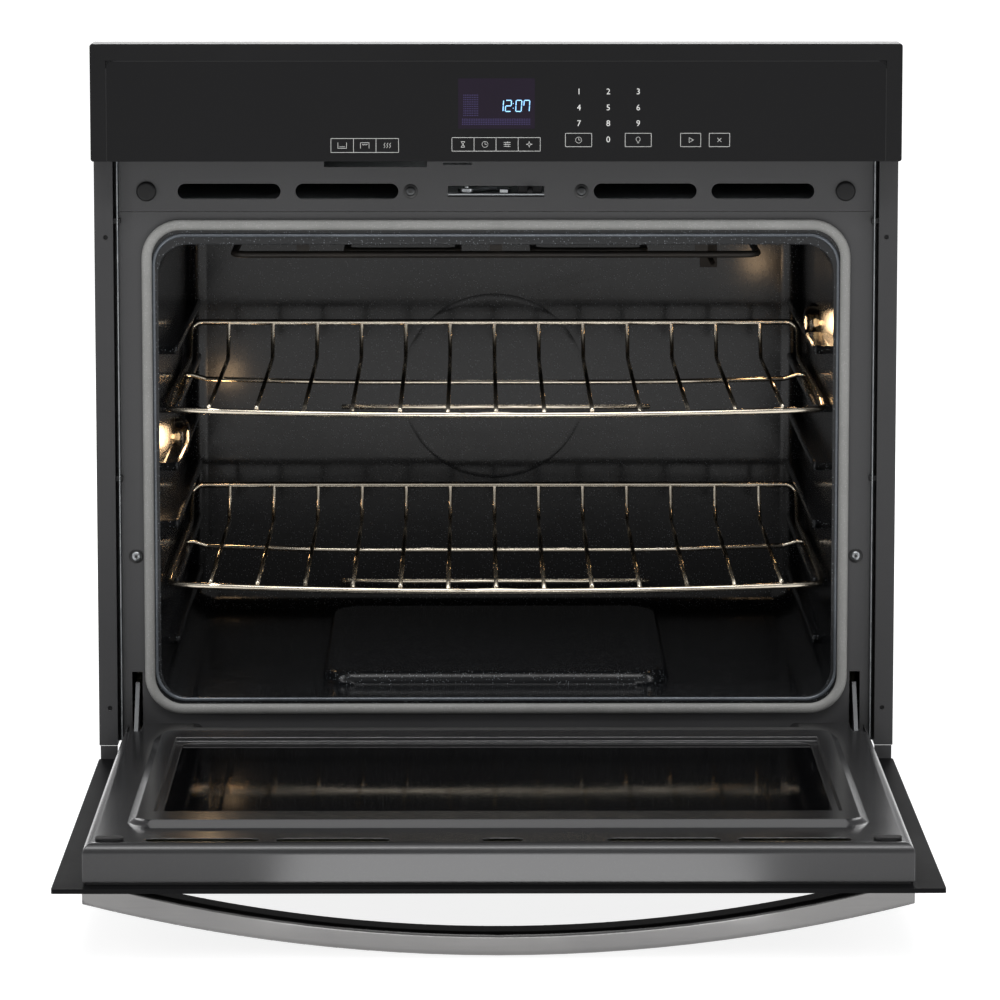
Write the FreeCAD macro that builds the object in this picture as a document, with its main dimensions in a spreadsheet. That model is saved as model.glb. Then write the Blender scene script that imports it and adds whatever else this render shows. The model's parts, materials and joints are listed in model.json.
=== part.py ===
import FreeCAD
import Part
import Sketcher
import math
import os

# A built-in single wall oven with a drop-down door, in millimetres.
# Frame: x to the right, y into the cabinet from the cabinet's front plane, z up from the
# underside of the chassis. Every door piece is drawn with the door shut, and its Placement
# turns it about the hinge axis by door_angle.

V = FreeCAD.Vector
doc = FreeCAD.newDocument("wall_oven")
sheet = doc.addObject("Spreadsheet::Sheet", "dims")

DIMENSIONS = (
    # chassis
    ("chassis_width", 714.0, "outside of the side panels"),
    ("chassis_height", 673.0, "underside to top cover"),
    ("chassis_depth", 591.0, "cabinet plane to rear cover"),
    ("sheet_metal", 1.0, "gauge of chassis, trims and door liner"),
    ("pan_lip", 15.0, "upturned edge of the base pan"),
    ("pan_gap", 1.0, "base pan lip to its neighbours"),
    ("pan_back", 3.0, "rear lip of the pan to the outside of the rear cover"),
    ("corner_fold", 12.0, "side panel's folded edges"),
    ("louvre_height", 3.0, "cooling slots in the side panels and the rear cover"),
    ("louvre_start", 250.0, "front end of the side louvres to the rear"),
    ("louvre_end", 190.0, "rear end of the side louvres to the rear"),
    ("louvre_drop", 45.0, "side louvres below the roof"),
    ("exit_in", 40.0, "inner end of the top cover's slots from the centre"),
    ("exit_out", 150.0, "outer end of the top cover's slots from the centre"),
    ("exit_y", 90.0, "top cover's slots behind the cabinet plane"),
    ("exit_height", 4.0, "top cover's slots"),
    ("rear_screw_in", 7.0, "rear screws to the inside of the side panel"),
    ("rear_screw_end", 40.0, "rear screws to the roof and the underside"),
    ("rear_screw_length", 8.0, "rear screw shank"),
    ("cable_side", 110.0, "cable entry to the outside of the chassis"),
    ("cable_drop", 60.0, "cable entry below the roof"),
    ("cable_hole", 11.2, "cable entry, radius"),
    ("grille_half", 90.0, "half the rear cover's grille"),
    ("grille_drop", 110.0, "rear cover's grille below the roof"),
    # front
    ("side_overlap", 21.0, "face past the chassis at each side"),
    ("top_overlap", 41.0, "control panel above the chassis"),
    ("bottom_overlap", 19.0, "bottom trim below the chassis"),
    ("face_stand", 38.0, "door and control panel front, from the cabinet plane"),
    ("frame_inset", 10.0, "front frame face behind the cabinet plane"),
    ("frame_gap", 1.4, "front frame edge to the outside of the side panel"),
    ("frame_return", 20.0, "folded edge of frame and band"),
    ("trim_thick", 1.5, "side trim thickness"),
    ("trim_gap", 3.4, "side trim edge to the outside of the side panel"),
    ("trim_return", 23.0, "side trim fold along the side panel"),
    ("trim_stand", 3.0, "bottom trim front, from the cabinet plane"),
    ("trim_step", 1.2, "bottom trim narrower than the side trims, each side"),
    ("trim_top", 44.0, "top of the bottom trim's end tabs"),
    ("trim_centre_top", 31.0, "top of the bottom trim under the door"),
    ("trim_screw_pitch", 450.0, "between mounting holes, up the side trim"),
    ("trim_screw_low", 80.0, "lower mounting hole"),
    ("trim_screw_edge", 10.5, "mounting hole to the trim's outer edge"),
    ("mount_hole_radius", 2.25, "mounting hole"),
    ("frame_screw_clear", 2.3, "frame screw's washer to the gasket"),
    ("frame_screw_rise", 136.7, "frame screws above the cavity floor"),
    ("frame_lift", 1.0, "front frame above the base pan"),
    ("screw_length", 12.0, "front screws"),
    ("trim_clear", 0.5, "side trim to the control panel, and bottom trim to its neighbours"),
    # control panel
    ("panel_height", 109.5, "control panel"),
    ("panel_wall", 2.0, "bezel wall"),
    ("panel_front", 3.0, "bezel front wall"),
    ("glass_side", 15.0, "bezel border left and right of the glass"),
    ("glass_top", 16.0, "bezel border above the glass"),
    ("glass_thick", 2.2, "control glass"),
    ("glass_gap", 0.4, "gap round the control glass"),
    ("ledge", 8.0, "bezel ledge under the glass edge"),
    ("film_thick", 0.4, "touch film"),
    ("display_width", 84.0, "display module"),
    ("display_height", 52.0, "display module"),
    ("display_drop", 30.0, "display module top below the panel top"),
    ("display_depth", 10.0, "display module"),
    ("board_width", 360.0, "control board"),
    ("board_thick", 1.6, "control board"),
    ("panel_round", 2.5, "bezel corners"),
    ("glass_round", 1.8, "glass corners"),
    ("board_low", 12.0, "board above the panel's underside"),
    ("board_high", 20.0, "board below the panel's top"),
    # vent band
    ("band_height", 50.0, "vent band"),
    ("band_feature_drop", 31.0, "vent slots' centre below the band's top edge"),
    ("band_gap", 1.0, "vent band to control panel"),
    ("slot_height", 14.6, "vent slot"),
    ("slot_outer", 55.6, "outermost slot end to the frame's edge"),
    ("slot_inner", 92.0, "innermost slot end from the centre"),
    ("slot_space", 14.0, "between two slots"),
    ("latch_slot_half", 45.4, "half the latch slot"),
    ("latch_slot_height", 10.3, "latch slot"),
    ("ring_screw_x", 80.5, "band screws from the centre"),
    ("screw_radius", 2.1, "screw shank"),
    ("screw_clearance", 0.1, "screw hole clearance, radial"),
    ("screw_head_radius", 4.2, "screw head"),
    ("screw_head_thick", 2.0, "screw head"),
    ("ring_radius", 6.4, "washer under a screw"),
    ("ring_thick", 0.8, "washer under a screw"),
    ("buffer_radius", 9.4, "rubber buffer on the band"),
    ("buffer_proud", 4.2, "rubber buffer in front of the band"),
    ("buffer_edge", 26.2, "buffer centre to the frame's edge"),
    # cavity
    ("side_space", 38.0, "cavity inside to chassis outside, each side"),
    ("floor_space", 88.0, "cavity floor above the underside"),
    ("ceiling_drop", 31.5, "cavity ceiling below the vent band"),
    ("back_space", 69.0, "cavity back to rear cover outside"),
    ("cavity_wall", 1.2, "enamelled cavity sheet"),
    ("cavity_radius", 28.0, "cavity corners"),
    ("mouth_side", 8.5, "cavity flange at the sides"),
    ("mouth_low", 8.0, "cavity flange at the floor"),
    ("mouth_high", 17.0, "cavity flange at the ceiling"),
    ("mouth_gap", 0.5, "cavity flange to front frame"),
    ("gasket_radius", 3.8, "gasket tube"),
    ("gasket_out", 2.0, "gasket centre line outside the flange's edge"),
    ("gasket_corner", 32.0, "gasket corner"),
    ("level_pitch", 56.4, "between rack positions"),
    ("level_low", 50.6, "lowest rack above the floor"),
    ("level_room", 90.0, "least space above the highest rack"),
    ("guide_reach", 14.0, "rack guide out of the cavity wall"),
    ("guide_height", 8.0, "rack guide"),
    ("guide_front", 82.0, "front end of the guides"),
    ("guide_back", 24.0, "back end of the guides to the cavity back"),
    ("boss_radius", 97.0, "stamped round in the back wall"),
    ("boss_height", 8.0, "stamped round out of the back wall"),
    ("boss_rise", 18.0, "centre of the round above the cavity's middle"),
    ("plinth_half", 168.0, "half the width of the raised floor"),
    ("plinth_front", 74.0, "raised floor, from the cabinet plane"),
    ("plinth_back", 60.0, "raised floor to the cavity back"),
    ("plinth_height", 13.0, "raised floor"),
    # racks
    ("rack_side_gap", 3.0, "rack to cavity wall"),
    ("rack_rail", 3.0, "rack rail radius"),
    ("rack_wire", 2.0, "rack wire radius"),
    ("rack_front", 52.0, "front rail ends, from the cabinet plane"),
    ("rack_bow", 40.0, "front rail middle ahead of its ends"),
    ("rack_back", 84.0, "rear rail to the cavity back"),
    ("rack_drop", 4.5, "front rail below the rack's plane"),
    ("rack_rise", 35.7, "rear rail above the rack's plane"),
    ("rack_wires", 13.0, "wires from front to back"),
    ("rack_margin", 39.5, "outermost wire to the rack's side rail"),
    ("rack_cross", 285.0, "ends of the middle bar, from the cabinet plane"),
    ("rack_cross_bow", 27.0, "middle bar ahead of its ends"),
    ("rack_short", 68.0, "short bar, from the cabinet plane"),
    ("rack_gap", 0.4, "rack rail above its guide"),
    # heating
    ("element_radius", 3.3, "heating element tube"),
    ("broil_drop", 12.0, "broil element below the ceiling"),
    ("bake_drop", 11.0, "bake element below the floor"),
    ("insulation_thick", 26.0, "insulation blanket"),
    ("insulation_gap", 1.0, "blanket to cavity"),
    ("insulation_front", 78.0, "front of the blanket"),
    ("lamp_radius", 20.0, "lamp glass"),
    ("lamp_proud", 14.0, "lamp glass into the cavity"),
    ("lamp_depth", 26.0, "lamp socket behind the wall"),
    ("lamp_right_y", 223.0, "right lamp behind the cabinet plane"),
    ("lamp_left_y", 267.0, "left lamp behind the cabinet plane"),
    ("lamp_right_drop", 98.5, "right lamp below the ceiling"),
    ("lamp_left_rise", 216.5, "left lamp above the floor"),
    ("cavity_back_round_less", 10.0, "cavity's rear corners rounder by this much less"),
    ("lamp_boss", 7.0, "guides cut away round a lamp"),
    ("lamp_seat", 4.0, "lamp glass over the edge of its hole"),
    ("sensor_hole", 3.2, "temperature sensor's hole, radius"),
    ("sensor_side", 95.0, "sensor to the cavity wall"),
    ("sensor_drop", 60.0, "sensor below the ceiling"),
    ("sensor_radius", 2.6, "sensor probe"),
    ("sensor_length", 110.0, "sensor probe"),
    ("boss_round", 5.0, "edge of the stamped round"),
    ("plinth_round", 9.0, "upper edge of the raised floor"),
    ("plinth_corner", 34.0, "corners of the raised floor"),
    ("guide_round", 3.0, "edge of a rack guide"),
    ("bulb_radius", 7.0, "lamp bulb"),
    ("bulb_length", 27.0, "lamp bulb"),
    ("bulb_back", 6.0, "lamp bulb behind the cavity wall"),
    ("lead_half", 36.0, "broil element's ends from the centre"),
    ("lead_clear", 1.0, "round the broil element's ends"),
    ("rim_bend", 24.0, "bend of the rack's rim to its sides, behind"),
    ("rim_front", 32.0, "rack's side bars start behind its front corners"),
    ("wire_bend", 20.0, "rack wires turn up before the rear rail"),
    ("rack_bar", 2.4, "rack's cross bars, radius"),
    ("rack_weld", 0.3, "welded wires sunk into one another"),
    ("rack_short_over", 11.0, "short bar past its last wire"),
    # cooling air
    ("duct_low", 8.0, "duct below the slots' centre"),
    ("duct_high", 11.0, "duct above the slots' centre"),
    ("duct_branch", 130.0, "length of the two duct branches"),
    ("blower_radius", 62.0, "blower wheel"),
    ("blower_height", 32.0, "blower wheel"),
    ("blower_back", 150.0, "blower axis to rear cover"),
    ("blower_gap", 10.0, "wheel to housing"),
    ("blade_count", 20.0, "blower blades"),
    ("shaft_radius", 4.0, "blower shaft"),
    ("running_gap", 0.05, "radial clearance of turning fits"),
    # latch and switch
    ("latch_x", -28.0, "latch pivot from the centre"),
    ("latch_y", 26.0, "latch pivot behind the cabinet plane"),
    ("latch_pin", 3.0, "latch pivot radius"),
    ("hook_radius", 38.0, "middle of the hook's arc"),
    ("hook_width", 8.0, "hook's width"),
    ("hook_thick", 3.0, "hook's thickness"),
    ("plunger_x", 32.0, "switch plunger from the centre"),
    ("plunger_radius", 2.5, "switch plunger"),
    ("plunger_reach", 5.0, "plunger past the shut door's inner face"),
    ("motor_x", 22.0, "latch motor, left of the centre"),
    ("motor_y", 74.0, "latch motor behind the cabinet plane"),
    ("deck_half", 62.0, "half the latch plate"),
    ("deck_end", 96.0, "rear end of the latch plate"),
    ("deck_thick", 1.5, "latch plate"),
    ("deck_ear", 10.0, "width of the plate's feet"),
    ("deck_drop", 12.0, "plate's feet below its top"),
    # door
    ("door_angle", 90.0, "door opening as drawn, degrees"),
    ("hinge_height", 53.0, "hinge axis above the underside"),
    ("hinge_forward", 13.0, "hinge axis in front of the cabinet plane"),
    ("hinge_edge", 15.0, "hinge centre line to the outside of the chassis"),
    ("hinge_pin", 4.0, "hinge pin radius"),
    ("door_gap", 2.5, "door to control panel"),
    ("door_skirt", 6.0, "door's bottom edge below the hinge axis"),
    ("door_glass", 4.0, "outer door glass"),
    ("door_inner_face", 2.0, "shut door's inner face behind the cabinet plane"),
    ("door_frame_thick", 3.0, "steel frame behind the outer glass"),
    ("liner_side", 4.5, "door liner narrower than the chassis, each side"),
    ("liner_top", 12.0, "door liner below the glass's top edge"),
    ("liner_round", 9.0, "rounding of the liner's edge"),
    ("liner_foot", 74.0, "width of the liner's two feet"),
    ("liner_step", 20.0, "liner's middle above its feet"),
    ("tongue", 8.0, "liner lip below its feet"),
    ("ring_side", 37.0, "stamped ring to the outside of the chassis"),
    ("ring_low", 65.0, "stamped ring above the door's bottom edge"),
    ("ring_high", 76.0, "stamped ring below the door's top edge"),
    ("ring_height", 6.0, "stamped ring"),
    ("ring_slope", 8.0, "stamped ring's sloping edge"),
    ("ring_width", 14.0, "flat of the stamped ring at the sides"),
    ("ring_width_tall", 34.0, "flat of the stamped ring above and below the window"),
    ("ring_step", 4.0, "step down inside the stamped ring"),
    ("window_lap", 7.0, "liner over the edge of the pane"),
    ("pane_thick", 4.0, "door panes"),
    ("pane_space", 9.0, "between the two inner panes"),
    ("retainer_width", 10.0, "window retainer outside the pane"),
    ("catch_left", 14.0, "door latch slot, left of the centre"),
    ("catch_right", 21.0, "door latch slot, right of the centre"),
    ("arm_thick", 4.0, "hinge arm"),
    ("arm_round", 8.5, "hinge arm round its pin"),
    ("arm_top", 51.0, "hinge arm above the hinge axis at the front frame"),
    ("arm_length", 66.0, "hinge arm behind the front of the frame"),
    ("hinge_slot_width", 10.0, "slot in the front frame"),
    ("hinge_slot_low", 4.0, "hinge slot above the hinge axis"),
    ("hinge_slot_high", 60.0, "hinge slot above the hinge axis"),
    ("channel_width", 18.0, "hinge channel and receiver"),
    ("channel_wall", 1.5, "hinge channel and receiver wall"),
    ("channel_length", 270.0, "hinge channel above the axis"),
    ("spring_radius", 5.0, "counterbalance spring"),
    ("spring_wire", 1.1, "counterbalance spring wire radius"),
    # handle
    ("handle_drop", 50.0, "handle centre below the door's top edge"),
    ("handle_height", 30.0, "handle bar"),
    ("handle_edge", 23.5, "handle end to the door's side"),
    ("handle_reach", 63.0, "handle front off the door"),
    ("handle_inside", 42.0, "handle inside off the door"),
    ("handle_end", 18.0, "handle front off the door at its ends"),
    ("handle_foot", 25.0, "where the bar meets the door, from its end"),
)


def write_dimensions():
    for row, (alias, size, note) in enumerate(DIMENSIONS, start=1):
        sheet.set(f"A{row}", alias)
        sheet.set(f"B{row}", str(size))
        sheet.set(f"C{row}", note)
        sheet.setAlias(f"B{row}", alias)
    doc.recompute()


write_dimensions()


# --- expressions of the sheet ------------------------------------------------------------

def total(*terms):
    """One expression, in brackets, that adds its terms."""
    return "(" + " + ".join(f"({term})" for term in terms) + ")"


def less(first, *terms):
    """One expression, in brackets, that takes the other terms from the first."""
    return "(" + f"({first})" + "".join(f" - ({term})" for term in terms) + ")"


def half(term):
    return f"(({term}) / 2)"


def minus(term):
    return f"(-1 * ({term}))"


def number(expression):
    """An expression's value, for the places that can't hold an expression."""
    return float(sheet.evalExpression(str(expression)))


gauge = "dims.sheet_metal"
side_out = half("dims.chassis_width")
side_in = less(side_out, gauge)
face_half = total(side_out, "dims.side_overlap")
rear = "dims.chassis_depth"
roof = "dims.chassis_height"
face_top = total(roof, "dims.top_overlap")
panel_low = less(face_top, "dims.panel_height")
panel_y = minus("dims.face_stand")

frame_half = less(side_out, "dims.frame_gap")
frame_y = "dims.frame_inset"
frame_back = total(frame_y, gauge)
band_top = less(panel_low, "dims.band_gap")
band_low = less(band_top, "dims.band_height")
band_z = less(band_top, "dims.band_feature_drop")
slot_end = less(frame_half, "dims.slot_outer")
slot_length = half(less(slot_end, "dims.slot_inner", "dims.slot_space"))
slot_half = half("dims.slot_height")
buffer_x = less(frame_half, "dims.buffer_edge")

cavity_half = less(side_out, "dims.side_space")
cavity_floor = "dims.floor_space"
cavity_ceiling = less(band_low, "dims.ceiling_drop")
cavity_back = less(rear, "dims.back_space")
flange_half = total(cavity_half, "dims.mouth_side")
flange_low = less(cavity_floor, "dims.mouth_low")
flange_high = total(cavity_ceiling, "dims.mouth_high")

hinge_z = "dims.hinge_height"
hinge_y = minus("dims.hinge_forward")
hinge_x = less(side_out, "dims.hinge_edge")
door_low = less(hinge_z, "dims.door_skirt")
door_top = less(panel_low, "dims.door_gap")
door_back = total(panel_y, "dims.door_glass")
frame_plate = total(door_back, "dims.door_frame_thick")
inner_face = "dims.door_inner_face"
liner_half = less(side_out, "dims.liner_side")
liner_high = less(door_top, "dims.liner_top")
ring_half = less(side_out, "dims.ring_side")
ring_floor = total(door_low, "dims.ring_low")
ring_roof = less(door_top, "dims.ring_high")
step_half = less(ring_half, "dims.ring_slope", "dims.ring_width")
step_floor = total(ring_floor, "dims.ring_slope", "dims.ring_width_tall")
step_roof = less(ring_roof, "dims.ring_slope", "dims.ring_width_tall")
window_half = less(step_half, "dims.window_lap")
window_floor = total(step_floor, "dims.window_lap")
window_roof = less(step_roof, "dims.window_lap")
step_y = less(total(inner_face, "dims.ring_height"), "dims.ring_step")
handle_z = less(door_top, "dims.handle_drop")
handle_half = less(face_half, "dims.handle_edge")

screw_hole = total("dims.screw_radius", "dims.screw_clearance")


# --- primitives --------------------------------------------------------------------------

used = {}


def name(stem):
    """A document name of its own for a helper shape."""
    used[stem] = used.get(stem, 0) + 1
    return f"{stem}_{used[stem]}"


def block(x, y, z, stem="block"):
    """A box between three pairs of expressions."""
    box = doc.addObject("Part::Box", name(stem))
    for size, place, (low, high) in zip(("Length", "Width", "Height"), "xyz", (x, y, z)):
        box.setExpression(size, less(high, low))
        box.setExpression(f"Placement.Base.{place}", f"{low}")
    return box


def both(term):
    """A pair of expressions, the same distance each side of zero."""
    return minus(term), term


def turned(axis):
    """The rotation that lays a z axis along the named axis."""
    return {
        "x": FreeCAD.Rotation(V(0, 1, 0), 90),
        "y": FreeCAD.Rotation(V(1, 0, 0), -90),
        "z": FreeCAD.Rotation(),
    }[axis]


def rod(radius, length, at, axis="z", stem="rod"):
    """A cylinder from a point along an axis; sizes and place are expressions."""
    cylinder = doc.addObject("Part::Cylinder", name(stem))
    cylinder.Placement = FreeCAD.Placement(V(), turned(axis))
    cylinder.setExpression("Radius", radius)
    cylinder.setExpression("Height", length)
    for place, term in zip("xyz", at):
        cylinder.setExpression(f"Placement.Base.{place}", f"{term}")
    return cylinder


def fuse(*shapes, stem="fuse"):
    joined = doc.addObject("Part::MultiFuse", name(stem))
    joined.Shapes = list(shapes)
    joined.Refine = True
    return joined


def cut(base, *tools, stem="cut"):
    result = doc.addObject("Part::Cut", name(stem))
    result.Base = base
    result.Tool = tools[0] if len(tools) == 1 else fuse(*tools, stem="tools")
    result.Refine = True
    return result


def group(*shapes, stem="group"):
    """Separate solids in one object."""
    compound = doc.addObject("Part::Compound", name(stem))
    compound.Links = list(shapes)
    return compound


def rounded(base, radius, pick, stem="rounded"):
    """Rounds the edges that pick accepts, by an expression's radius."""
    doc.recompute()
    size = number(radius)
    edges = [(i, size, size) for i, edge in enumerate(base.Shape.Edges, start=1) if pick(edge)]
    if not edges:
        raise RuntimeError(f"no edge to round on {base.Name}")
    result = doc.addObject("Part::Fillet", name(stem))
    result.Base = base
    result.Edges = edges
    return result


def along(edge, axis):
    """True for a straight edge that runs along x, y or z."""
    if not isinstance(edge.Curve, Part.Line):
        return False
    return abs(getattr(edge.Curve.Direction, axis)) > 0.999


def rounded_block(x, y, z, radius, axis, stem="plate"):
    """A box whose edges along one axis are rounded."""
    return rounded(block(x, y, z, stem), radius, lambda edge: along(edge, axis), stem)


def free(stem, shape):
    """A Part::Feature for a shape that neither a Body nor a primitive makes."""
    feature = doc.addObject("Part::Feature", name(stem))
    feature.Shape = shape
    return feature


# --- sketched bodies ---------------------------------------------------------------------

def new_body(label):
    body = doc.addObject("PartDesign::Body", label)
    body.Label = label
    return body


def sketch_on(body, role, offset="0"):
    """A sketch on one of the body's own origin planes, moved along the plane's normal."""
    plane = next(item for item in body.Origin.OriginFeatures if item.Role == role)
    sketch = body.newObject("Sketcher::SketchObject", name(f"{body.Name}_sketch"))
    sketch.AttachmentSupport = [(plane, "")]
    sketch.MapMode = "FlatFace"
    sketch.setExpression("AttachmentOffset.Base.z", offset)
    return sketch


def bind(sketch, kind, *where_and_value):
    """Adds a dimension to a sketch and ties it to an expression."""
    *where, expression = where_and_value
    index = sketch.addConstraint(Sketcher.Constraint(kind, *where, number(expression)))
    sketch.setExpression(f"Constraints[{index}]", expression)


def outline(sketch, across, up):
    """A rectangle in a sketch between two pairs of expressions."""
    left, right = (number(term) for term in across)
    low, high = (number(term) for term in up)
    corners = [V(left, low, 0), V(right, low, 0), V(right, high, 0), V(left, high, 0)]
    first = sketch.GeometryCount
    for i in range(4):
        sketch.addGeometry(Part.LineSegment(corners[i], corners[(i + 1) % 4]), False)
    for i in range(4):
        sketch.addConstraint(Sketcher.Constraint("Coincident", first + i, 2, first + (i + 1) % 4, 1))
    for i in (0, 2):
        sketch.addConstraint(Sketcher.Constraint("Horizontal", first + i))
        sketch.addConstraint(Sketcher.Constraint("Vertical", first + i + 1))
    bind(sketch, "DistanceX", -1, 1, first, 1, across[0])
    bind(sketch, "DistanceY", -1, 1, first, 1, up[0])
    bind(sketch, "DistanceX", -1, 1, first + 2, 1, across[1])
    bind(sketch, "DistanceY", -1, 1, first + 2, 1, up[1])


def slot(sketch, left, right, middle, radius):
    """A round-ended slot in a sketch, from end to end."""
    size, level = number(radius), number(middle)
    start, end = number(left) + size, number(right) - size
    first = sketch.GeometryCount
    top = Part.LineSegment(V(start, level + size, 0), V(end, level + size, 0))
    low = Part.LineSegment(V(start, level - size, 0), V(end, level - size, 0))
    cap_left = Part.Arc(top.StartPoint, V(start - size, level, 0), low.StartPoint)
    cap_right = Part.Arc(low.EndPoint, V(end + size, level, 0), top.EndPoint)
    for piece in (top, cap_left, low, cap_right):
        sketch.addGeometry(piece, False)
    upper, lower = first, first + 2
    for cap in (first + 1, first + 3):
        for line, side in ((upper, level + size), (lower, level - size)):
            cap_end = 1 if abs(sketch.getPoint(cap, 1).y - side) < 0.01 else 2
            line_end = 1 if cap == first + 1 else 2
            sketch.addConstraint(Sketcher.Constraint("Tangent", cap, cap_end, line, line_end))
    sketch.addConstraint(Sketcher.Constraint("Horizontal", upper))
    sketch.addConstraint(Sketcher.Constraint("Equal", first + 1, first + 3))
    bind(sketch, "Radius", first + 1, radius)
    bind(sketch, "DistanceX", -1, 1, first + 1, 3, total(left, radius))
    bind(sketch, "DistanceX", -1, 1, first + 3, 3, less(right, radius))
    bind(sketch, "DistanceY", -1, 1, first + 1, 3, middle)


def ring(sketch, across, up, radius):
    """A circle in a sketch."""
    circle = Part.Circle(V(number(across), number(up), 0), V(0, 0, 1), number(radius))
    index = sketch.addGeometry(circle, False)
    bind(sketch, "Radius", index, radius)
    bind(sketch, "DistanceX", -1, 1, index, 3, across)
    bind(sketch, "DistanceY", -1, 1, index, 3, up)


def pad(body, sketch, length, backwards=False):
    feature = body.newObject("PartDesign::Pad", name(f"{body.Name}_pad"))
    feature.Profile = sketch
    feature.setExpression("Length", length)
    feature.Reversed = backwards
    return feature


def pocket(body, sketch, both_ways=True):
    """A cut right through the body."""
    doc.recompute()
    before = body.Shape.Volume
    feature = body.newObject("PartDesign::Pocket", name(f"{body.Name}_pocket"))
    feature.Profile = sketch
    feature.Type = "ThroughAll"
    feature.Midplane = both_ways
    doc.recompute()
    if body.Shape.Volume > before - 0.01:
        raise RuntimeError(f"{feature.Name} cuts nothing")
    return feature


def front_plate(label, across, up, front, thick=gauge):
    """A body that starts as a plate facing the front, with its face at y = front."""
    body = new_body(label)
    sketch = sketch_on(body, "XZ_Plane", minus(front))
    outline(sketch, across, up)
    pad(body, sketch, thick, backwards=True)
    return body


def front_cuts(body):
    """A sketch facing the front, for cuts through a front plate."""
    return sketch_on(body, "XZ_Plane")


def returns(body, front, depth, *edges):
    """Folded edges that run back from a front plate."""
    for across, up in edges:
        sketch = sketch_on(body, "XZ_Plane", minus(front))
        outline(sketch, across, up)
        pad(body, sketch, depth, backwards=True)


def round_body(body, radius, pick):
    """A PartDesign fillet on the edges that pick accepts."""
    doc.recompute()
    tip = body.Tip
    edges = [f"Edge{i}" for i, edge in enumerate(tip.Shape.Edges, start=1) if pick(edge)]
    if not edges:
        raise RuntimeError(f"no edge to round on {body.Name}")
    feature = body.newObject("PartDesign::Fillet", name(f"{body.Name}_fillet"))
    feature.Base = (tip, edges)
    feature.setExpression("Radius", radius)
    return feature


def near(edge, axis, size, reach=0.01):
    """True for an edge that lies at one value of an axis."""
    box = edge.BoundBox
    low, high = {
        "x": (box.XMin, box.XMax),
        "y": (box.YMin, box.YMax),
        "z": (box.ZMin, box.ZMax),
    }[axis]
    return abs(low - size) < reach and abs(high - size) < reach


# --- bent wire ---------------------------------------------------------------------------

def bent_path(points, radius, closed=False):
    """Straight runs joined by tangent arcs; a radius may be one number or one a corner."""
    count = len(points)
    corners = range(count) if closed else range(1, count - 1)
    radii = radius if isinstance(radius, (list, tuple)) else [radius] * count
    joins = {}
    for i in corners:
        here = points[i]
        into = (here - points[i - 1]).normalize()
        out = (points[(i + 1) % count] - here).normalize()
        turn = into.getAngle(out)
        reach = radii[i] * math.tan(turn / 2)
        start, end = here - into * reach, here + out * reach
        inward = (out - into).normalize()
        middle = here + inward * (radii[i] / math.cos(turn / 2) - radii[i])
        joins[i] = (start, middle, end)
    edges = []
    last = joins[0][2] if closed else points[0]
    for i in range(1, count):
        first = joins[i][0] if i in joins else points[i]
        edges.append(Part.makeLine(last, first))
        if i in joins:
            edges.append(Part.Arc(*joins[i]).toShape())
            last = joins[i][2]
    if closed:
        edges.append(Part.makeLine(last, joins[0][0]))
        edges.append(Part.Arc(*joins[0]).toShape())
    return Part.Wire(edges)


def tube(points, bend, radius, closed=False):
    """A round bar along a bent path, as one solid."""
    path = bent_path(points, bend, closed)
    first = path.Edges[0]
    start = first.valueAt(first.FirstParameter)
    circle = Part.Circle(start, first.tangentAt(first.FirstParameter), radius)
    profile = Part.Wire(circle.toShape())
    solid = path.makePipeShell([profile], True, False, 2)
    if abs(solid.Volume / (path.Length * math.pi * radius ** 2) - 1) > 0.01:
        raise RuntimeError("a bent tube has the wrong volume")
    return solid


# --- sub-parts ---------------------------------------------------------------------------

nodes = {}


def keep(label, shape):
    """Names a finished sub-part; its label is its file's name."""
    shape.Label = label
    nodes[label] = shape
    return shape


def keep_door(label, shape):
    """Names a door piece, drawn shut, and turns it open about the hinge axis."""
    door_pieces.append(shape)
    return keep(label, shape)


door_pieces = []


def screw(at, axis, length, washer=False):
    """A domed screw whose head's underside is at a point; its shank runs along the axis."""
    x, y, z = at
    shank = rod("dims.screw_radius", length, at, axis, "shank")
    back = {"x": (less(x, "dims.screw_head_thick"), y, z),
            "y": (x, less(y, "dims.screw_head_thick"), z),
            "z": (x, y, less(z, "dims.screw_head_thick"))}[axis]
    head = rod("dims.screw_head_radius", "dims.screw_head_thick", back, axis, "head")
    pieces = [shank, head]
    if washer:
        low = less(y, "dims.ring_thick")
        pieces.append(rod("dims.ring_radius", "dims.ring_thick", (x, low, z), axis, "washer"))
    return fuse(*pieces, stem="screw")


def mirrored_pair(term):
    """The same distance to the left and to the right."""
    return minus(term), term


# chassis sheets

def make_base_pan():
    front = total(minus("dims.trim_stand"), gauge)
    plate = block(both(side_in), (front, less(rear, gauge)), ("0", gauge), "base_plate")
    lip_top = total(gauge, "dims.pan_lip")
    start = total(frame_back, "dims.frame_return", "dims.pan_gap")
    lips = [block((minus(side_in), less(gauge, side_in)), (start, less(rear, "dims.pan_back")), (gauge, lip_top)),
            block((less(side_in, gauge), side_in), (start, less(rear, "dims.pan_back")), (gauge, lip_top)),
            block(both(less(side_in, gauge)), (less(rear, "dims.pan_back", gauge), less(rear, "dims.pan_back")),
                  (gauge, lip_top))]
    keep("base_pan", fuse(plate, *lips, stem="base_pan"))


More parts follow.
